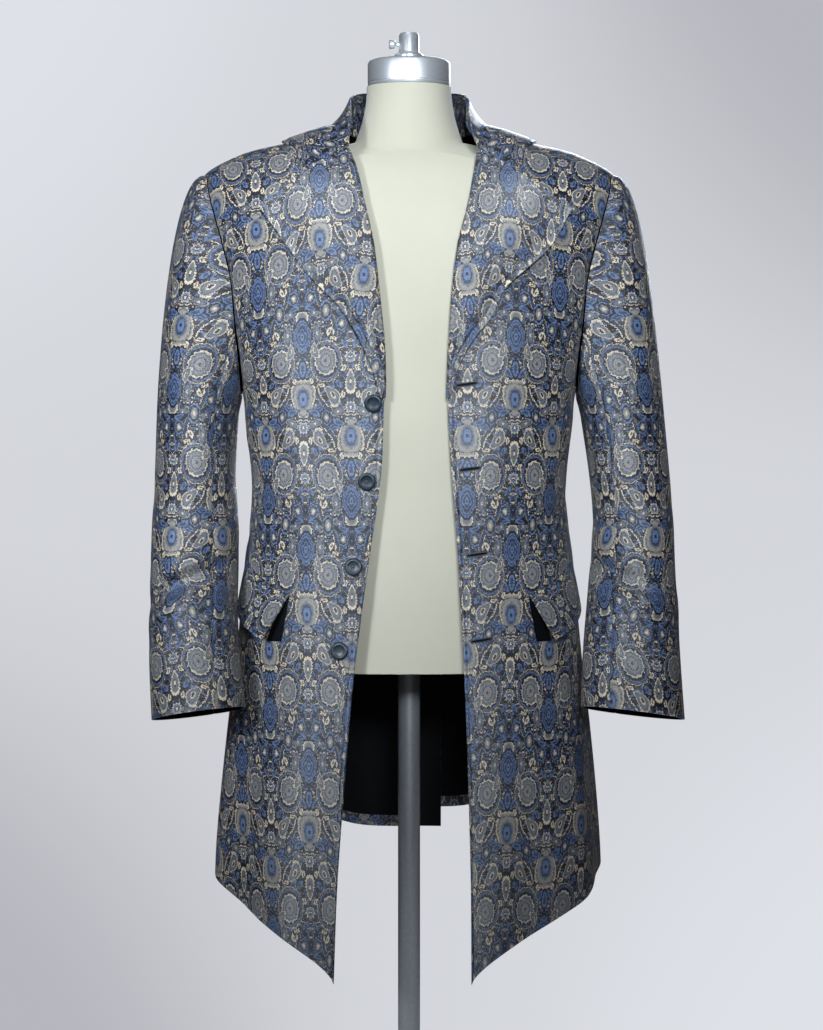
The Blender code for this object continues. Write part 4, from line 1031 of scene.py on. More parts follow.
def fall_surface(u, v):
    if v >= FOLD_SHARE:
        return fall_point(u, (v - FOLD_SHARE) / (1 - FOLD_SHARE))
    side, row = collar_row(u)
    fold = fall_point(u, 0.0)
    inward = Vector((-side * row.fold_x, -row.fold_y, 0.0)).normalized()
    angle = (1 - v / FOLD_SHARE) * FOLD_ANGLE
    return (fold + inward * FOLD_RADIUS * (1 - cos(angle))
            + Vector((0.0, 0.0, FOLD_RADIUS * sin(angle))))


def stand_surface(u, v):
    side, row = collar_row(blend(STAND_END, 1 - STAND_END, u))
    seam = top_of_shoulder(side, row.seam_x, row.seam_y, STAND_LIFT)
    reach = min(row.seam_x, front_edge_x(side, seam.z)) if row.seam_y < 0 else row.seam_x
    inward = Vector((-row.seam_x, -row.seam_y, 0.0)).normalized()
    seam.x = side * (reach + inward.x * STAND_INSET)
    seam.y += inward.y * STAND_INSET
    fold = Vector((side * row.fold_x, row.fold_y, row.fold_z))
    inward = Vector((-side * row.fold_x, -row.fold_y, 0.0)).normalized()
    return blend(seam, fold + inward * (CLOTH + SEAM_GAP) - Vector((0.0, 0.0, STAND_DROP)), v)


def collar_relief(over, up):
    return groove(up[-1:, :] - up, *COLLAR_GROOVE)


def collar_lay(over, up, grid):
    middle = over.shape[1] // 2
    return over - over[:, middle:middle + 1], up


def all_jacquard(over, up):
    return over >= 0.0


FALL_STEPS = 22
DOWN_STEPS = [FOLD_SHARE + (1 - FOLD_SHARE) * n / FALL_STEPS for n in range(FALL_STEPS + 1)]
COLLAR_ROWS = sorted({0.0, 0.02, 0.04, 0.06, FOLD_SHARE, *DOWN_STEPS,
                      FOLD_SHARE + (1 - FOLD_SHARE) * NOTCH_SHARE})
fall = sew("collar_fall_cloth", fall_surface, spread(84), COLLAR_ROWS, trunk_heart, collar_lay,
           collar_relief, all_jacquard)
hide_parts("collar_fall")
stand = sew("collar_stand_cloth", stand_surface, spread(60), spread(8), trunk_heart, collar_lay,
            None, all_jacquard)
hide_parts("collar_stand")

# The lapels are the turned-back tops of the fronts with their jacquard facing, from the
# gorge to the top button. Canvas inside keeps their roll soft, and their outer edge is
# stitched like the collar's.

LAPEL_EDGE = table(
    "LapelStep", "share right_x right_z left_x left_z",
    (0.00, 0.0310, 1.188, 0.0450, 1.190), (0.14, 0.0420, 1.225, 0.0530, 1.220),
    (0.28, 0.0566, 1.257, 0.0680, 1.249), (0.42, 0.0740, 1.285, 0.0860, 1.272),
    (0.58, 0.0960, 1.307, 0.1030, 1.305), (0.72, 0.1180, 1.335, 0.1260, 1.327),
    (0.86, 0.1400, 1.366, 0.1510, 1.352), (1.00, 0.1610, 1.395, 0.1745, 1.393),
)
LAPEL_BREAK_Z = 1.186
LAPEL_LEAN = radians(13)
LAPEL_EDGE_LIFT = 0.0050
LAPEL_ROLL = 0.0045
LAPEL_ROLL_REACH = 1.15
LAPEL_ROLL_START = 0.3
LAPEL_LIFT = 2 * CLOTH + LAYER_GAP
LAPEL_TOP = 0.5
LAPEL_GROOVE = (0.0013, 0.0018)
ROLL_SHARE = 0.14       # share of the lapel that wraps round the front's edge
ROLL_INSIDE = -0.0034   # lift of its end inside the coat


def lapel_top_z(side, x, tip_x, tip_z):
    """Height of the lapel's top edge: along the gorge seam to the notch, then out to the tip."""
    start = gorge_x(side)
    if x < NOTCH_X:
        line = blend(GORGE_Z, NOTCH_Z, (x - start) / (NOTCH_X - start))
    else:
        line = blend(NOTCH_Z, tip_z, (x - NOTCH_X) / (tip_x - NOTCH_X))
    return line - 4 * SEAM_GAP


def lapel_surface(side):
    tip = LAPEL_EDGE[-1]
    tip_x = tip.left_x if side == LEFT else tip.right_x
    tip_z = tip.left_z if side == LEFT else tip.right_z
    start_x = gorge_x(side)
    radius = (LAPEL_LIFT - ROLL_INSIDE) / 2

    def surface(u, v):
        row = between(LAPEL_EDGE, v)
        far_x = row.left_x if side == LEFT else row.right_x
        far_z = row.left_z if side == LEFT else row.right_z
        roll_z = blend(LAPEL_BREAK_Z, GORGE_Z, v)
        roll_x = front_edge_x(side, roll_z) + GORGE_INSET
        if u < ROLL_SHARE:
            angle = blend(-pi / 2, pi / 2, u / ROLL_SHARE)
            lift = (LAPEL_LIFT + ROLL_INSIDE) / 2 + radius * sin(angle)
            return on_trunk(side, roll_x + GORGE_INSET - radius * cos(angle), roll_z, lift)
        out = (u - ROLL_SHARE) / (1 - ROLL_SHARE)
        bow = (lapel_top_z(side, blend(start_x, tip_x, out), tip_x, tip_z)
               - blend(GORGE_Z, tip_z, out))
        x = blend(roll_x + GORGE_INSET, far_x, out)
        z = blend(roll_z, far_z, out) + bow * ease((v - LAPEL_TOP) / (1 - LAPEL_TOP))
        start = ease(v / LAPEL_ROLL_START)
        roll = LAPEL_ROLL * sin(pi * min(out * LAPEL_ROLL_REACH, 1.0)) * start
        return on_trunk(side, x, z, LAPEL_LIFT + roll + LAPEL_EDGE_LIFT * start * out ** 2)
    return surface


def lapel_relief(over, up):
    return groove(over[:, -1:] - over, *LAPEL_GROOVE)


def lapel_lay(over, up, grid):
    """The facing is cut along the roll, so its pattern leans."""
    lean_x, lean_y = cos(LAPEL_LEAN), sin(LAPEL_LEAN)
    return -over * lean_x - up * lean_y, up * lean_x - over * lean_y


ROLL_STEPS, FLAT_STEPS = 7, 26
LAPEL_COLUMNS = sorted({ROLL_SHARE * n / ROLL_STEPS for n in range(ROLL_STEPS)}
                       | {blend(ROLL_SHARE, 1.0, n / FLAT_STEPS) for n in range(FLAT_STEPS + 1)})

for side, label in BOTH_SIDES:
    lapel = sew("lapel_%s_cloth" % label, lapel_surface(side), LAPEL_COLUMNS, spread(60),
                trunk_heart, lapel_lay, lapel_relief, all_jacquard)
    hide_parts("lapel_" + label)

# Pocket flaps are faced jacquard, slanted down towards the front. Their top edge is sewn
# into the pocket's seam, and the lower front corner stands off the coat.

FLAP_TURN = radians(42.5)
FLAP_Z = 0.971
FLAP_LENGTH = 0.090
FLAP_HEIGHT = 0.055
FLAP_SLOPE = radians(22)
FLAP_TURN_PER_METRE = radians(1) / 0.00253
FLAP_STAND_OFF = 0.014
# A black sheet lies on the coat under each flap as painted shadow: its thickness, lift, reach,
# slant and drop
FLAP_SHADOW_SHEET = 0.00025
FLAP_SHADOW_SHEET_LIFT = 0.0005
FLAP_UNDER = 0.007      # how far the painted shadow sheet runs on under the flap
FLAP_SHADOW_SHEET_SLANT = 0.007
FLAP_SHADOW_SHEET_DROP = 0.001
FLAP_SEAM, FLAP_GROOVE = (0.0016, 0.003), (0.0004, 0.0012)
FLAP_PATTERN_X = 0.02
FLAP_BACK_SHARE = 0.15  # how much the flap's back corner stands off, of what the front one does


def beside_pocket(side, back, z, lift):
    """Point off the coat, by its way back from the flap's front corner and its height."""
    return off_trunk(side, FLAP_TURN + back * FLAP_TURN_PER_METRE, z - ARMPIT_Z, lift)


def flap_surface(side, u, v):
    back = FLAP_LENGTH * cos(FLAP_SLOPE) * u + FLAP_HEIGHT * sin(FLAP_SLOPE) * v
    z = FLAP_Z + FLAP_LENGTH * sin(FLAP_SLOPE) * u - FLAP_HEIGHT * cos(FLAP_SLOPE) * v
    lift = FLAP_STAND_OFF * v * blend(1.0, FLAP_BACK_SHARE, u)
    return beside_pocket(side, back, z, LAYER_GAP + CLOTH + lift)


def flap_shadow_sheet_surface(side, u, v):
    """Black sheet on the coat under the flap's front edge: painted shadow where the flap stands
    off.
    """
    back = blend(FLAP_SHADOW_SHEET_SLANT * v, FLAP_HEIGHT * sin(FLAP_SLOPE) * v + FLAP_UNDER, u)
    z = FLAP_Z - FLAP_SHADOW_SHEET_DROP - FLAP_HEIGHT * cos(FLAP_SLOPE) * v
    return beside_pocket(side, back, z, FLAP_SHADOW_SHEET_LIFT)


def flap_relief(over, up):
    to_far = over[:, -1:] - over
    near = np.minimum(np.minimum(over, to_far), up[-1:, :] - up)
    return turned_edge(up, *FLAP_SEAM) + groove(near, *FLAP_GROOVE)


def flap_lay(over, up, grid):
    return over + FLAP_PATTERN_X, -up


for side, label in BOTH_SIDES:
    shape = partial(flap_surface, side)
    flap = sew("pocket_flap_%s_cloth" % label, shape, spread(30, 0.1, 0.1), spread(22, 0.1, 0.1),
               trunk_heart, flap_lay, flap_relief)
    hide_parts("pocket_flap_" + label)
    # The black sheet on the coat under the flap is painted shadow for the gap beneath its raised
    # front corner.
    layer = sew("flap_shadow_sheet_" + label, partial(flap_shadow_sheet_surface, side), spread(10),
                spread(16), trunk_heart, plain_lay, None, None, FLAP_SHADOW_SHEET)
    layer.data.materials[0] = LINING

# Edge stitching in dark twist follows the front edges, lapels, collar and flaps. The left
# front has four worked buttonholes that pair with the buttons.

STITCH = 0.0030
STITCH_SPACE = 0.0009
STITCH_SINK = 0.0003
FRONT_MARKS = 140
LAPEL_MARKS = 80
LAPEL_HALF_WIDTH = 0.09
COLLAR_STITCH_V = 0.925
TWIST_RADIUS = 0.00026
HOLE_LENGTH = 0.024
HOLE_INSET = 0.0085
HOLE_HALF_WIDTH = 0.0018
HOLE_RISE = 0.13         # the holes climb a little towards the side
HOLE_STEPS = 56
HOLE_EYE = 1.6           # how much wider the end near the edge is
PURL_RADII = (0.00058, 0.00078)
SLIT_MOVE = Vector((0.0, -0.0001, 0.0))
BUTTONHOLE_Z = [1.199, 1.107, 1.014, 0.921]


def object_vector(tree):
    return add_node(tree, "TexCoord", {}).outputs["Object"]


def grained(name, low, high, scale, detail, relief, strength, stretch=(1.0, 1.0, 1.0), **values):
    """Material with a fine grain between two colours that stands up a little."""
    material, tree, shader = principled(name, **values)
    grain = noise_at(tree, object_vector(tree), scale, detail, stretch)
    feed(tree, shader.inputs["Base Color"], lay_over(tree, low, high, grain))
    bump(tree, shader, grain, relief, strength)
    return material


THREAD = grained("sewing_thread", (0.020, 0.022, 0.032), (0.060, 0.066, 0.090), 2500.0, 1.0,
                 0.00005, 0.5, Roughness=0.6, Sheen_Weight=0.2)


def surface_frame(surface, u, v):
    """Point and outward normal of a surface."""
    step = 0.002
    point = surface(u, v)
    across = surface(min(u + step, 1.0), v) - surface(max(u - step, 0.0), v)
    along = surface(u, min(v + step, 1.0)) - surface(u, max(v - step, 0.0))
    normal = across.cross(along).normalized()
    inside = Vector((0.0, 0.0, min(point.z, YOKE_HEART_Z)))
    return point, normal if normal.dot(point - inside) > 0 else -normal


def ring_walls(rings, sides, close=False):
    """Faces between rings of points that follow each other."""
    walls = []
    for number in range(rings if close else rings - 1):
        low, high = number * sides, (number + 1) % rings * sides
        for corner in range(sides):
            after = (corner + 1) % sides
            walls.append((low + corner, low + after, high + after, high + corner))
    return walls


def thread_tube(points, radius, sides=6, close=False):
    """Vertices and faces of a round thread along points."""
    vertices = []
    count = len(points)
    for number, point in enumerate(points):
        after = points[(number + 1) % count] if close else points[min(number + 1, count - 1)]
        before = points[number - 1] if close or number else points[0]
        run = (after - before).normalized()
        aside = run.cross(Vector((0.0, 1.0, 0.3))).normalized()
        up = aside.cross(run)
        size = radius[number] if isinstance(radius, list) else radius
        for corner in range(sides):
            angle = 2 * pi * corner / sides
            vertices.append(point + (aside * cos(angle) + up * sin(angle)) * size)
    faces = ring_walls(count, sides, close)
    if not close:
        faces.append(tuple(reversed(range(sides))))
        faces.append(tuple(range((count - 1) * sides, count * sides)))
    return vertices, faces


def join(vertices, faces, more, walls):
    """Add vertices and faces to lists of them."""
    faces += [tuple(len(vertices) + corner for corner in wall) for wall in walls]
    vertices += more


def sewn_line(places):
    """Stitches along a line of (point, normal), as one list of vertices and faces."""
    vertices, faces = [], []
    lengths = [0.0]
    for (low, _), (high, _) in zip(places, places[1:]):
        lengths.append(lengths[-1] + (high - low).length)

    def spot(distance):
        place = max(0, min(int(np.searchsorted(lengths, distance)) - 1, len(places) - 2))
        share = (distance - lengths[place]) / max(lengths[place + 1] - lengths[place], 1e-9)
        return (places[place][0].lerp(places[place + 1][0], share),
                places[place][1].lerp(places[place + 1][1], share))

    distance = 0.0
    while distance + STITCH < lengths[-1]:
        points = []
        for share, rise in ((0.0, -0.0005), (0.2, 0.0), (0.5, 0.0001), (0.8, 0.0), (1.0, -0.0005)):
            point, normal = spot(distance + STITCH * share)
            points.append(point + normal * rise)
        join(vertices, faces, *thread_tube(points, TWIST_RADIUS))
        distance += STITCH + STITCH_SPACE
    return vertices, faces


def thread_piece(name, vertices, faces, material):
    piece = add_mesh(name, vertices, faces, (material,))
    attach(piece, "root")
    return piece


def stitch(name, surface, marks):
    places = [surface_frame(surface, u, v) for u, v in marks]
    return thread_piece(name, *sewn_line(places), THREAD)


for side, label in BOTH_SIDES:
    edge = []
    for n in range(FRONT_MARKS):
        z = blend(FRONT_TIP_Z + 2 * EDGE_STITCH, LAPEL_BREAK_Z - 0.004, n / (FRONT_MARKS - 1))
        turn = turn_of(front_edge_x(side, z) + EDGE_STITCH, z - ARMPIT_Z, False)
        edge.append((off_trunk(side, turn, z - ARMPIT_Z, -STITCH_SINK),
                     trunk_normal(side, turn, z - ARMPIT_Z)))
    thread_piece("front_stitching_" + label, *sewn_line(edge), THREAD)
    inset = min(EDGE_STITCH / LAPEL_HALF_WIDTH, 0.3)
    marks = [(1 - inset * blend(5.0, 0.95, ease(3 * n / LAPEL_MARKS)), n / LAPEL_MARKS)
             for n in range(4, LAPEL_MARKS - 3)]
    stitch("lapel_stitching_" + label, lapel_surface(side), marks)
    inset_u, inset_v = EDGE_STITCH / FLAP_LENGTH, EDGE_STITCH / FLAP_HEIGHT
    marks = ([(inset_u, v / 20) for v in range(2, 18)]
             + [(inset_u + (1 - 2 * inset_u) * u / 30, 1 - inset_v) for u in range(31)]
             + [(1 - inset_u, 1 - v / 20) for v in range(3, 19)])
    stitch("flap_stitching_" + label, partial(flap_surface, side), marks)

stitch("collar_stitching", fall_surface, [(n / 200, COLLAR_STITCH_V) for n in range(4, 197)])

hole_points, hole_faces = [], []
slit_points, slit_faces = [], []
for height in BUTTONHOLE_Z:
    start_x = front_edge_x(LEFT, height) + HOLE_INSET
    ring, radii = [], []
    for number in range(HOLE_STEPS):
        angle = 2 * pi * number / HOLE_STEPS
        bulge = HOLE_EYE if cos(angle) < -0.75 else 1.0
        x = start_x + HOLE_LENGTH / 2 + HOLE_LENGTH / 2 * power(cos(angle), 0.5)
        z = height + HOLE_HALF_WIDTH * bulge * power(sin(angle), 0.9) + HOLE_RISE * (x - start_x)
        ring.append(on_trunk(LEFT, x, z, 0.0003))
        radii.append(PURL_RADII[number % 2])
    join(hole_points, hole_faces, *thread_tube(ring, radii, close=True))
    middle = on_trunk(LEFT, start_x + HOLE_LENGTH / 2, height + HOLE_RISE * HOLE_LENGTH / 2, 0.0002)
    join(slit_points, slit_faces, [point + SLIT_MOVE for point in ring] + [middle],
         [(n, (n + 1) % HOLE_STEPS, HOLE_STEPS) for n in range(HOLE_STEPS)])
thread_piece("buttonhole_purl", hole_points, hole_faces, THREAD)
thread_piece("buttonhole_slits", slit_points, slit_faces, LINING)

# Buttons are dark polished horn with a rim, a dished middle and four holes, sewn on with
# black thread. They sit near the edge of the right front.

BUTTONS = table(
    "ButtonPlace", "x z",
    (0.0385, 1.180), (0.0455, 1.095), (0.0600, 1.002), (0.0750, 0.911),
)
BUTTON_RADIUS = 0.0098
HOLE_REACH = 0.0022     # from the button's middle to a hole
BUTTON_THREAD_RADIUS = 0.00045
THREAD_START_Z = 0.0018
THREAD_BOW = Vector((0.0, 0.0, 0.0014))
THREAD_KNEE = Vector((0.0, 0.0, 0.0008))
BUTTON_PROFILE = [
    (0.0, 0.0024), (0.52, 0.0024), (0.58, 0.0026), (0.62, 0.0034), (0.66, 0.0036), (0.84, 0.0034),
    (0.95, 0.0029), (1.0, 0.0021), (0.98, 0.0012), (0.80, 0.0006), (0.60, 0.0004), (0.0, 0.0004),
]


def turned_mesh(name, profile, segments, material, sharp=40):
    """Round body turned about Z from (radius, height) steps, closed on the axis."""
    points = [(0.0, 0.0, profile[0][1])]
    rings = profile[1:-1]
    for radius, height in rings:
        for number in range(segments):
            angle = 2 * pi * number / segments
            points.append((radius * cos(angle), radius * sin(angle), height))
    points.append((0.0, 0.0, profile[-1][1]))
    final = len(points) - 1
    low = 1 + (len(rings) - 1) * segments
    faces = []
    for number in range(segments):
        after = (number + 1) % segments
        faces.append((0, 1 + number, 1 + after))
        faces.append((final, low + after, low + number))
        for ring in range(len(rings) - 1):
            base = 1 + ring * segments
            faces.append((base + number, base + segments + number,
                          base + segments + after, base + after))
    return add_mesh(name, points, faces, (material,), sharp)


HORN = grained("dark_horn", (0.004, 0.009, 0.014), (0.018, 0.034, 0.048), 260.0, 3.0,
               0.00004, 0.4, (1.0, 0.4, 1.0), Roughness=0.36, Specular_IOR_Level=0.4)


def stands_for(piece, node):
    """Let a piece take the place of a node of the CAD."""
    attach(piece, "root")
    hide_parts(node)


for number, place in enumerate(BUTTONS, start=1):
    level = level_at_height(RIGHT, place.x, place.z)
    turn = turn_of(place.x, level, False)
    facing = trunk_normal(RIGHT, turn, level)
    spot = trunk_point(RIGHT, turn, level) + facing * LAYER_GAP
    aim = facing.to_track_quat("Z", "Y").to_matrix().to_4x4()
    profile = [(radius * BUTTON_RADIUS, height) for radius, height in BUTTON_PROFILE]
    button = turned_mesh("horn_button_%d" % number, profile, 48, HORN)
    button.matrix_world = Matrix.Translation(spot) @ aim
    stands_for(button, "button_%d" % number)
    crossing, walls = [], []
    for corners in ((0, 2), (1, 3)):
        ends = [Vector((HOLE_REACH * cos(pi / 4 + pi / 2 * corner),
                        HOLE_REACH * sin(pi / 4 + pi / 2 * corner), THREAD_START_Z))
                for corner in corners]
        middle = (ends[0] + ends[1]) / 2 + THREAD_BOW
        knees = [end.lerp(middle, 0.25) + THREAD_KNEE for end in ends]
        run = [ends[0], knees[0], middle, knees[1], ends[1]]
        join(crossing, walls, *thread_tube(run, BUTTON_THREAD_RADIUS))
    cross = thread_piece("button_thread_%d" % number, crossing, walls, THREAD)
    cross.matrix_world = button.matrix_world

# The dress form is a padded limbless trunk covered in cream jersey, seamed down the middle
# and the sides. It carries the coat on its shoulders and ends in a neck.

FORM_EASE = table(
    "FormEase", "z side front back",
    (0.885, 0.018, 0.020, 0.022), (1.000, 0.014, 0.016, 0.016), (1.083, 0.010, 0.012, 0.012),
    (1.190, 0.012, 0.010, 0.010), (1.300, 0.022, 0.009, 0.009), (1.400, 0.028, 0.006, 0.006),
    (1.435, 0.030, 0.006, 0.006),
)
FORM_BOTTOM_Z = 0.885
FORM_SHOULDER_GAP = CLOTH + 0.0009
FORM_AWAY_GAP = 0.007
FORM_NECK_GAP = 0.012
FORM_AWAY_Y = 0.04
FORM_NECK_X = 0.100
FORM_NECK_BLEND = 0.025
FORM_SHOULDER_DROP = 0.016
FORM_STUMP_X = 0.165
FORM_STUMP_BLEND = 0.04
FORM_CLIMB = 0.72
NECK_CENTRE_Y = 0.003
NECK_BASE_RADIUS = 0.061
NECK_RADIUS = 0.0475
NECK_TOP_Z = 1.5365
NECK_FOOT_Z = 1.4790
FORM_SIDES = 96
AROUND = [2 * pi * number / FORM_SIDES for number in range(FORM_SIDES)]
TRUNK_RINGS, YOKE_RINGS, TOP_RINGS, NECK_RINGS = 20, 16, 8, 8


def form_droop(x):
    """How far the form lies below the coat near the neck and under the sleeve heads."""
    stump = FORM_SHOULDER_DROP * ease((abs(x) - FORM_STUMP_X) / FORM_STUMP_BLEND)
    return stump + FORM_NECK_GAP * ease((FORM_NECK_X - abs(x)) / FORM_NECK_BLEND)


def form_top(x, y):
    """Height of the form under the shoulder at a plan position."""
    point = top_of_shoulder(LEFT if x >= 0 else RIGHT, x, y, -FORM_SHOULDER_GAP)
    return point.z - FORM_AWAY_GAP * ease(abs(y) / FORM_AWAY_Y) - form_droop(x)


def form_ring(level):
    """One ring of the form's trunk, as points round it."""
    points = []
    for around in AROUND:
        side = LEFT if around <= pi else RIGHT
        turn = around if around <= pi else 2 * pi - around
        rise, draw_in = over_shoulder(level)
        base_z = ARMPIT_Z + min(level, 0.0)
        height = base_z + rise * (SHOULDER_Z - ARMPIT_Z)
        row, slack = between(TRUNK, height), between(FORM_EASE, height)
        depth = row.front_depth - slack.front if turn < pi / 2 else row.back_depth - slack.back
        x = (row.half_width - slack.side) * power(sin(turn), 2 / row.fullness)
        y = -depth * draw_in * power(cos(turn), 2 / row.fullness)
        crest = between(SHOULDER_LINE, x).z - FORM_SHOULDER_GAP - form_droop(x)
        points.append(Vector((side * x, y, base_z + rise * (crest - base_z))))
    return points


def neck_ring(radius, heights):
    return [Vector((radius * sin(around), NECK_CENTRE_Y - radius * cos(around), z))
            for around, z in zip(AROUND, heights)]


def form_rings():
    rings = [form_ring(blend(FORM_BOTTOM_Z, ARMPIT_Z, n / TRUNK_RINGS) - ARMPIT_Z)
             for n in range(TRUNK_RINGS + 1)]
    rings += [form_ring(FORM_CLIMB * (n / YOKE_RINGS) ** 1.3) for n in range(1, YOKE_RINGS + 1)]
    yoke, neck_base = rings[-1], neck_ring(NECK_BASE_RADIUS, [0.0] * FORM_SIDES)
    for step in range(1, TOP_RINGS + 1):
        ring = []
        for low, high in zip(yoke, neck_base):
            x = blend(low.x, high.x, step / TOP_RINGS)
            y = blend(low.y, high.y, step / TOP_RINGS)
            ring.append(Vector((x, y, min(form_top(x, y), NECK_FOOT_Z))))
        rings.append(ring)
    base = rings[-1]
    for step in range(1, NECK_RINGS + 1):
        share = step / NECK_RINGS
        radius = blend(NECK_BASE_RADIUS, NECK_RADIUS, 1 - (1 - share) ** 2)
        rings.append(neck_ring(radius, [blend(low.z, NECK_TOP_Z, share) for low in base]))
    return rings


def knit_jersey():
    material, tree, shader = principled("cream_jersey", Roughness=0.9, Sheen_Weight=0.25,
                                        Sheen_Roughness=0.5)
    place = object_vector(tree)
    knit = noise_at(tree, place, 1400.0, 1.0, (1.0, 1.0, 0.4))
    cloud = noise_at(tree, place, 9.0, 3.0)
    feed(tree, shader.inputs["Base Color"],
         lay_over(tree, (0.42, 0.39, 0.30), (0.49, 0.455, 0.36), cloud))
    bump(tree, shader, knit, 0.0003, 0.5)
    return material


rings = form_rings()
form_faces = ring_walls(len(rings), FORM_SIDES)
final = (len(rings) - 1) * FORM_SIDES
form_faces.append(tuple(reversed(range(FORM_SIDES))))
form_faces.append(tuple(range(final, final + FORM_SIDES)))
form = add_mesh("jersey_form", [point for ring in rings for point in ring], form_faces,
                (knit_jersey(),), 50)
stands_for(form, "form_torso")

# The neck is closed by a brushed steel cap. A socket with a clamp screw stands on it, for
# hanging the form or setting its height.

CAP_BASE_Z = NECK_TOP_Z + SEAM_GAP
CAP_TOP_Z = 1.5670
CAP_RADIUS = 0.0465
CAP_PROFILE = [
    (0.0, CAP_TOP_Z), (0.70 * CAP_RADIUS, CAP_TOP_Z), (0.90 * CAP_RADIUS, CAP_TOP_Z - 0.0006),
    (0.97 * CAP_RADIUS, CAP_TOP_Z - 0.0020), (CAP_RADIUS, CAP_TOP_Z - 0.0045),
    (CAP_RADIUS, CAP_BASE_Z + 0.0050), (0.988 * CAP_RADIUS, CAP_BASE_Z + 0.0044),
    (0.988 * CAP_RADIUS, CAP_BASE_Z + 0.0034), (CAP_RADIUS, CAP_BASE_Z + 0.0028),
    (0.99 * CAP_RADIUS, CAP_BASE_Z + 0.0006), (0.97 * CAP_RADIUS, CAP_BASE_Z), (0.0, CAP_BASE_Z),
]


def brush_steel(name, rough, stretch):
    return grained(name, (0.52, 0.53, 0.55), (0.72, 0.73, 0.75), 300.0, 3.0, 0.00004, 0.35, stretch,
                   Metallic=0.72, Roughness=rough)


BRUSHED = brush_steel("brushed_steel", 0.40, (0.4, 0.4, 6.0))
POLISHED = brush_steel("polished_steel", 0.28, (1.0, 1.0, 1.0))


def fit_metal(name, node, profile, segments, material, place=None):
    piece = turned_mesh(name, profile, segments, material)
    if place is not None:
        piece.matrix_world = place
    stands_for(piece, node)


on_neck = Matrix.Translation((0.0, NECK_CENTRE_Y, 0.0))
fit_metal("neck_cap", "form_neck_cap", CAP_PROFILE, 96, BRUSHED, on_neck)

SOCKET_BASE_Z = CAP_TOP_Z + SEAM_GAP
SOCKET_TOP_Z = 1.5975
FLANGE_RADIUS = 0.0170
SOCKET_RADIUS = 0.0112
SOCKET_PROFILE = [
    (0.0, SOCKET_TOP_Z - 0.0060), (0.50 * SOCKET_RADIUS, SOCKET_TOP_Z - 0.0060),
    (0.52 * SOCKET_RADIUS, SOCKET_TOP_Z - 0.0004), (0.60 * SOCKET_RADIUS, SOCKET_TOP_Z),
    (0.86 * SOCKET_RADIUS, SOCKET_TOP_Z - 0.0004), (SOCKET_RADIUS, SOCKET_TOP_Z - 0.0030),
    (SOCKET_RADIUS, SOCKET_BASE_Z + 0.0100), (1.06 * SOCKET_RADIUS, SOCKET_BASE_Z + 0.0080),
    (0.92 * FLANGE_RADIUS, SOCKET_BASE_Z + 0.0060), (FLANGE_RADIUS, SOCKET_BASE_Z + 0.0044),
    (FLANGE_RADIUS, SOCKET_BASE_Z + 0.0004), (0.98 * FLANGE_RADIUS, SOCKET_BASE_Z),
    (0.0, SOCKET_BASE_Z),
]
fit_metal("neck_socket", "form_socket", SOCKET_PROFILE, 64, POLISHED, on_neck)

SCREW_Z = 1.5845
SCREW_PROFILE = [
    (0.0, 0.0110), (0.0034, 0.0110), (0.0046, 0.0106), (0.0052, 0.0096), (0.0052, 0.0052),
    (0.0046, 0.0044), (0.0030, 0.0040), (0.0024, 0.0030), (0.0024, 0.0), (0.0, 0.0),
]
screw_place = (Matrix.Translation((-SOCKET_RADIUS - SEAM_GAP, NECK_CENTRE_Y, SCREW_Z))
               @ Matrix.Rotation(radians(-90), 4, "Y"))
fit_metal("neck_clamp_screw", "form_clamp_screw", SCREW_PROFILE, 40, POLISHED, screw_place)

# The stand is a slim steel pole in a heavy round base of painted iron, which keeps the
# loaded form upright.

FORM_POLE_TOP = FORM_BOTTOM_Z - SEAM_GAP
BASE_RADIUS = 0.190
HUB_RADIUS = 0.026
HUB_TOP_Z = 0.055
POLE_RADIUS = 0.0125
POLE_PROFILE = [
    (0.0, FORM_POLE_TOP), (0.96 * POLE_RADIUS, FORM_POLE_TOP),
    (POLE_RADIUS, FORM_POLE_TOP - 0.0005),
    (POLE_RADIUS, HUB_TOP_Z + 0.001), (0.96 * POLE_RADIUS, HUB_TOP_Z + SEAM_GAP),
    (0.0, HUB_TOP_Z + SEAM_GAP),
]
fit_metal("steel_pole", "stand_pole", POLE_PROFILE, 48, POLISHED)

BASE_PROFILE = [
    (0.0, HUB_TOP_Z), (0.80 * HUB_RADIUS, HUB_TOP_Z), (0.95 * HUB_RADIUS, HUB_TOP_Z - 0.0014),
    (HUB_RADIUS, HUB_TOP_Z - 0.005), (HUB_RADIUS, 0.030), (1.08 * HUB_RADIUS, 0.0255),
    (1.30 * HUB_RADIUS, 0.0225), (1.60 * HUB_RADIUS, 0.021), (0.95 * BASE_RADIUS, 0.0120),
    (0.985 * BASE_RADIUS, 0.0104), (BASE_RADIUS, 0.0070), (BASE_RADIUS, 0.0010),
    (0.995 * BASE_RADIUS, 0.0), (0.0, 0.0),
]
GREY_PAINT = grained("grey_paint", (0.17, 0.175, 0.18), (0.23, 0.235, 0.24), 220.0, 4.0, 0.0003,
                     0.4, Metallic=0.3, Roughness=0.42)
foot = turned_mesh("cast_base", BASE_PROFILE, 128, GREY_PAINT)
stands_for(foot, "stand_base")

# The studio: a round pale floor, a pale graded background, soft lights and the camera.
# None of it is part of the object.

FLOOR_RADIUS = 1.9
FLOOR_PROFILE = [(0.0, 0.0), (0.3, 0.0), (1.2, 0.0), (FLOOR_RADIUS, 0.0), (FLOOR_RADIUS, -0.02),
                 (0.0, -0.02)]
GREYS = [(0.470, 0.476, 0.515), (0.655, 0.670, 0.710), (0.735, 0.755, 0.800)]
GRADE = 20.0            # how fast the background turns from deep to light
GRADE_RISE = 0.03
DIM_COLOR, DIM_STRENGTH = (1.0, 0.82, 0.86), 0.030


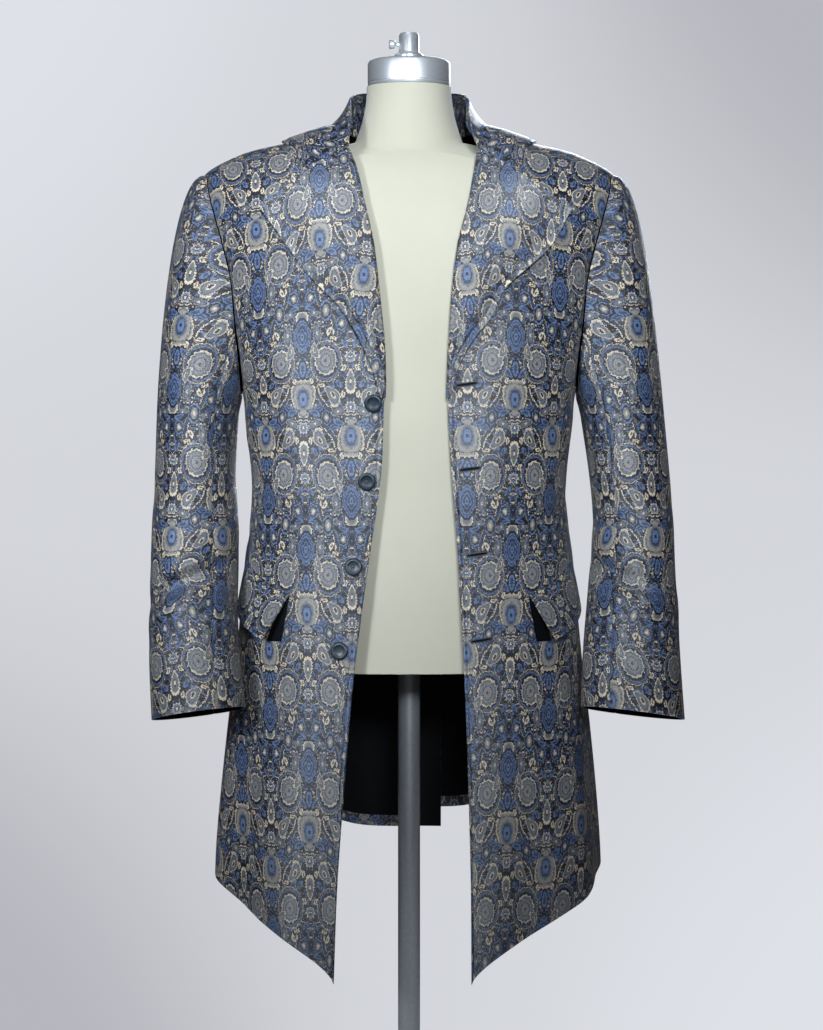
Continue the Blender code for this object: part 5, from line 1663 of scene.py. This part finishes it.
def paint_floor():
    material, tree, shader = principled("pale_floor", Roughness=0.9, Specular_IOR_Level=0.15)
    cloud = noise_at(tree, object_vector(tree), 3.0, 2.0)
    feed(tree, shader.inputs["Base Color"],
         lay_over(tree, (0.76, 0.77, 0.79), (0.80, 0.81, 0.83), cloud))
    return material


floor = turned_mesh("pale_floor", FLOOR_PROFILE, 160, paint_floor())


def studio_air():
    """Pale graded air behind the object, and a dim even light from all round."""
    world = bpy.data.worlds.new("studio_air")
    world.use_nodes = True
    tree = world.node_tree
    across, _, up = split(tree, add_node(tree, "TexCoord", {}).outputs["Generated"])
    slant = reckon(tree, "MULTIPLY", across, reckon(tree, "ADD", up, GRADE_RISE))
    slant = reckon(tree, "MULTIPLY_ADD", slant, -GRADE, 0.5, clamp=True)
    grade = add_node(tree, "ValToRGB", {0: slant})
    grade.color_ramp.interpolation = "EASE"
    grade.color_ramp.elements.new(0.5)
    for element, place, grey in zip(grade.color_ramp.elements, (0.0, 0.5, 1.0), GREYS):
        element.position = place
        element.color = (*grey, 1.0)
    seen = tree.nodes["Background"]
    feed(tree, seen.inputs["Color"], grade.outputs[0])
    dim = add_node(tree, "Background", {"Color": DIM_COLOR, "Strength": DIM_STRENGTH})
    sight = add_node(tree, "LightPath", {}).outputs["Is Camera Ray"]
    either = add_node(tree, "MixShader", {0: sight, 1: dim.outputs[0], 2: seen.outputs[0]})
    feed(tree, tree.nodes["World Output"].inputs[0], either.outputs[0])
    return world


def facing_to(place, aim):
    return (Vector(aim) - Vector(place)).to_track_quat("-Z", "Y").to_euler()


def hang_light(name, place, aim, size, power_watts, spread, color=(0.81, 0.905, 1.0)):
    light = bpy.data.lights.new(name, "AREA")
    light.shape = "RECTANGLE"
    light.size, light.size_y = size
    light.energy = power_watts
    light.spread = radians(spread)
    light.color = color
    lamp = bpy.data.objects.new(name, light)
    lamp.location = place
    lamp.rotation_euler = facing_to(place, aim)
    bpy.context.collection.objects.link(lamp)


hang_light("key_softbox", (-2.05, -2.7, 2.15), (-0.22, 0.0, 1.16), (0.8, 0.8), 3.1, 24.0)
hang_light("fill_softbox", (0.45, -3.9, 2.45), (0.05, 0.0, 1.58), (0.9, 0.9), 7.6, 29.0)
hang_light("top_softbox", (-0.3, -0.9, 3.4), (0.0, 0.0, 1.4), (1.6, 1.0), 3.6, 120.0)
hang_light("back_softbox", (0.6, 3.4, 2.2), (0.0, 0.0, 1.1), (1.5, 1.5), 20.0, 70.0)
bpy.context.scene.world = studio_air()
bpy.context.scene.view_settings.view_transform = "Standard"

CAMERA_PLACE = (0.0, -3.0, 1.151)
CAMERA_AIM = (0.0028, 0.0, 1.055)
PHOTO_HEIGHT = 1030
FOCAL_PIXELS = 2655     # distance to the coat over the metres that a pixel spans there

lens = bpy.data.cameras.new("photo_view")
lens.sensor_width = 36.0
lens.lens = FOCAL_PIXELS * lens.sensor_width / PHOTO_HEIGHT
lens.dof.use_dof = False
camera = bpy.data.objects.new("photo_view", lens)
camera.location = CAMERA_PLACE
camera.rotation_euler = facing_to(CAMERA_PLACE, CAMERA_AIM)
bpy.context.collection.objects.link(camera)
bpy.context.scene.camera = camera
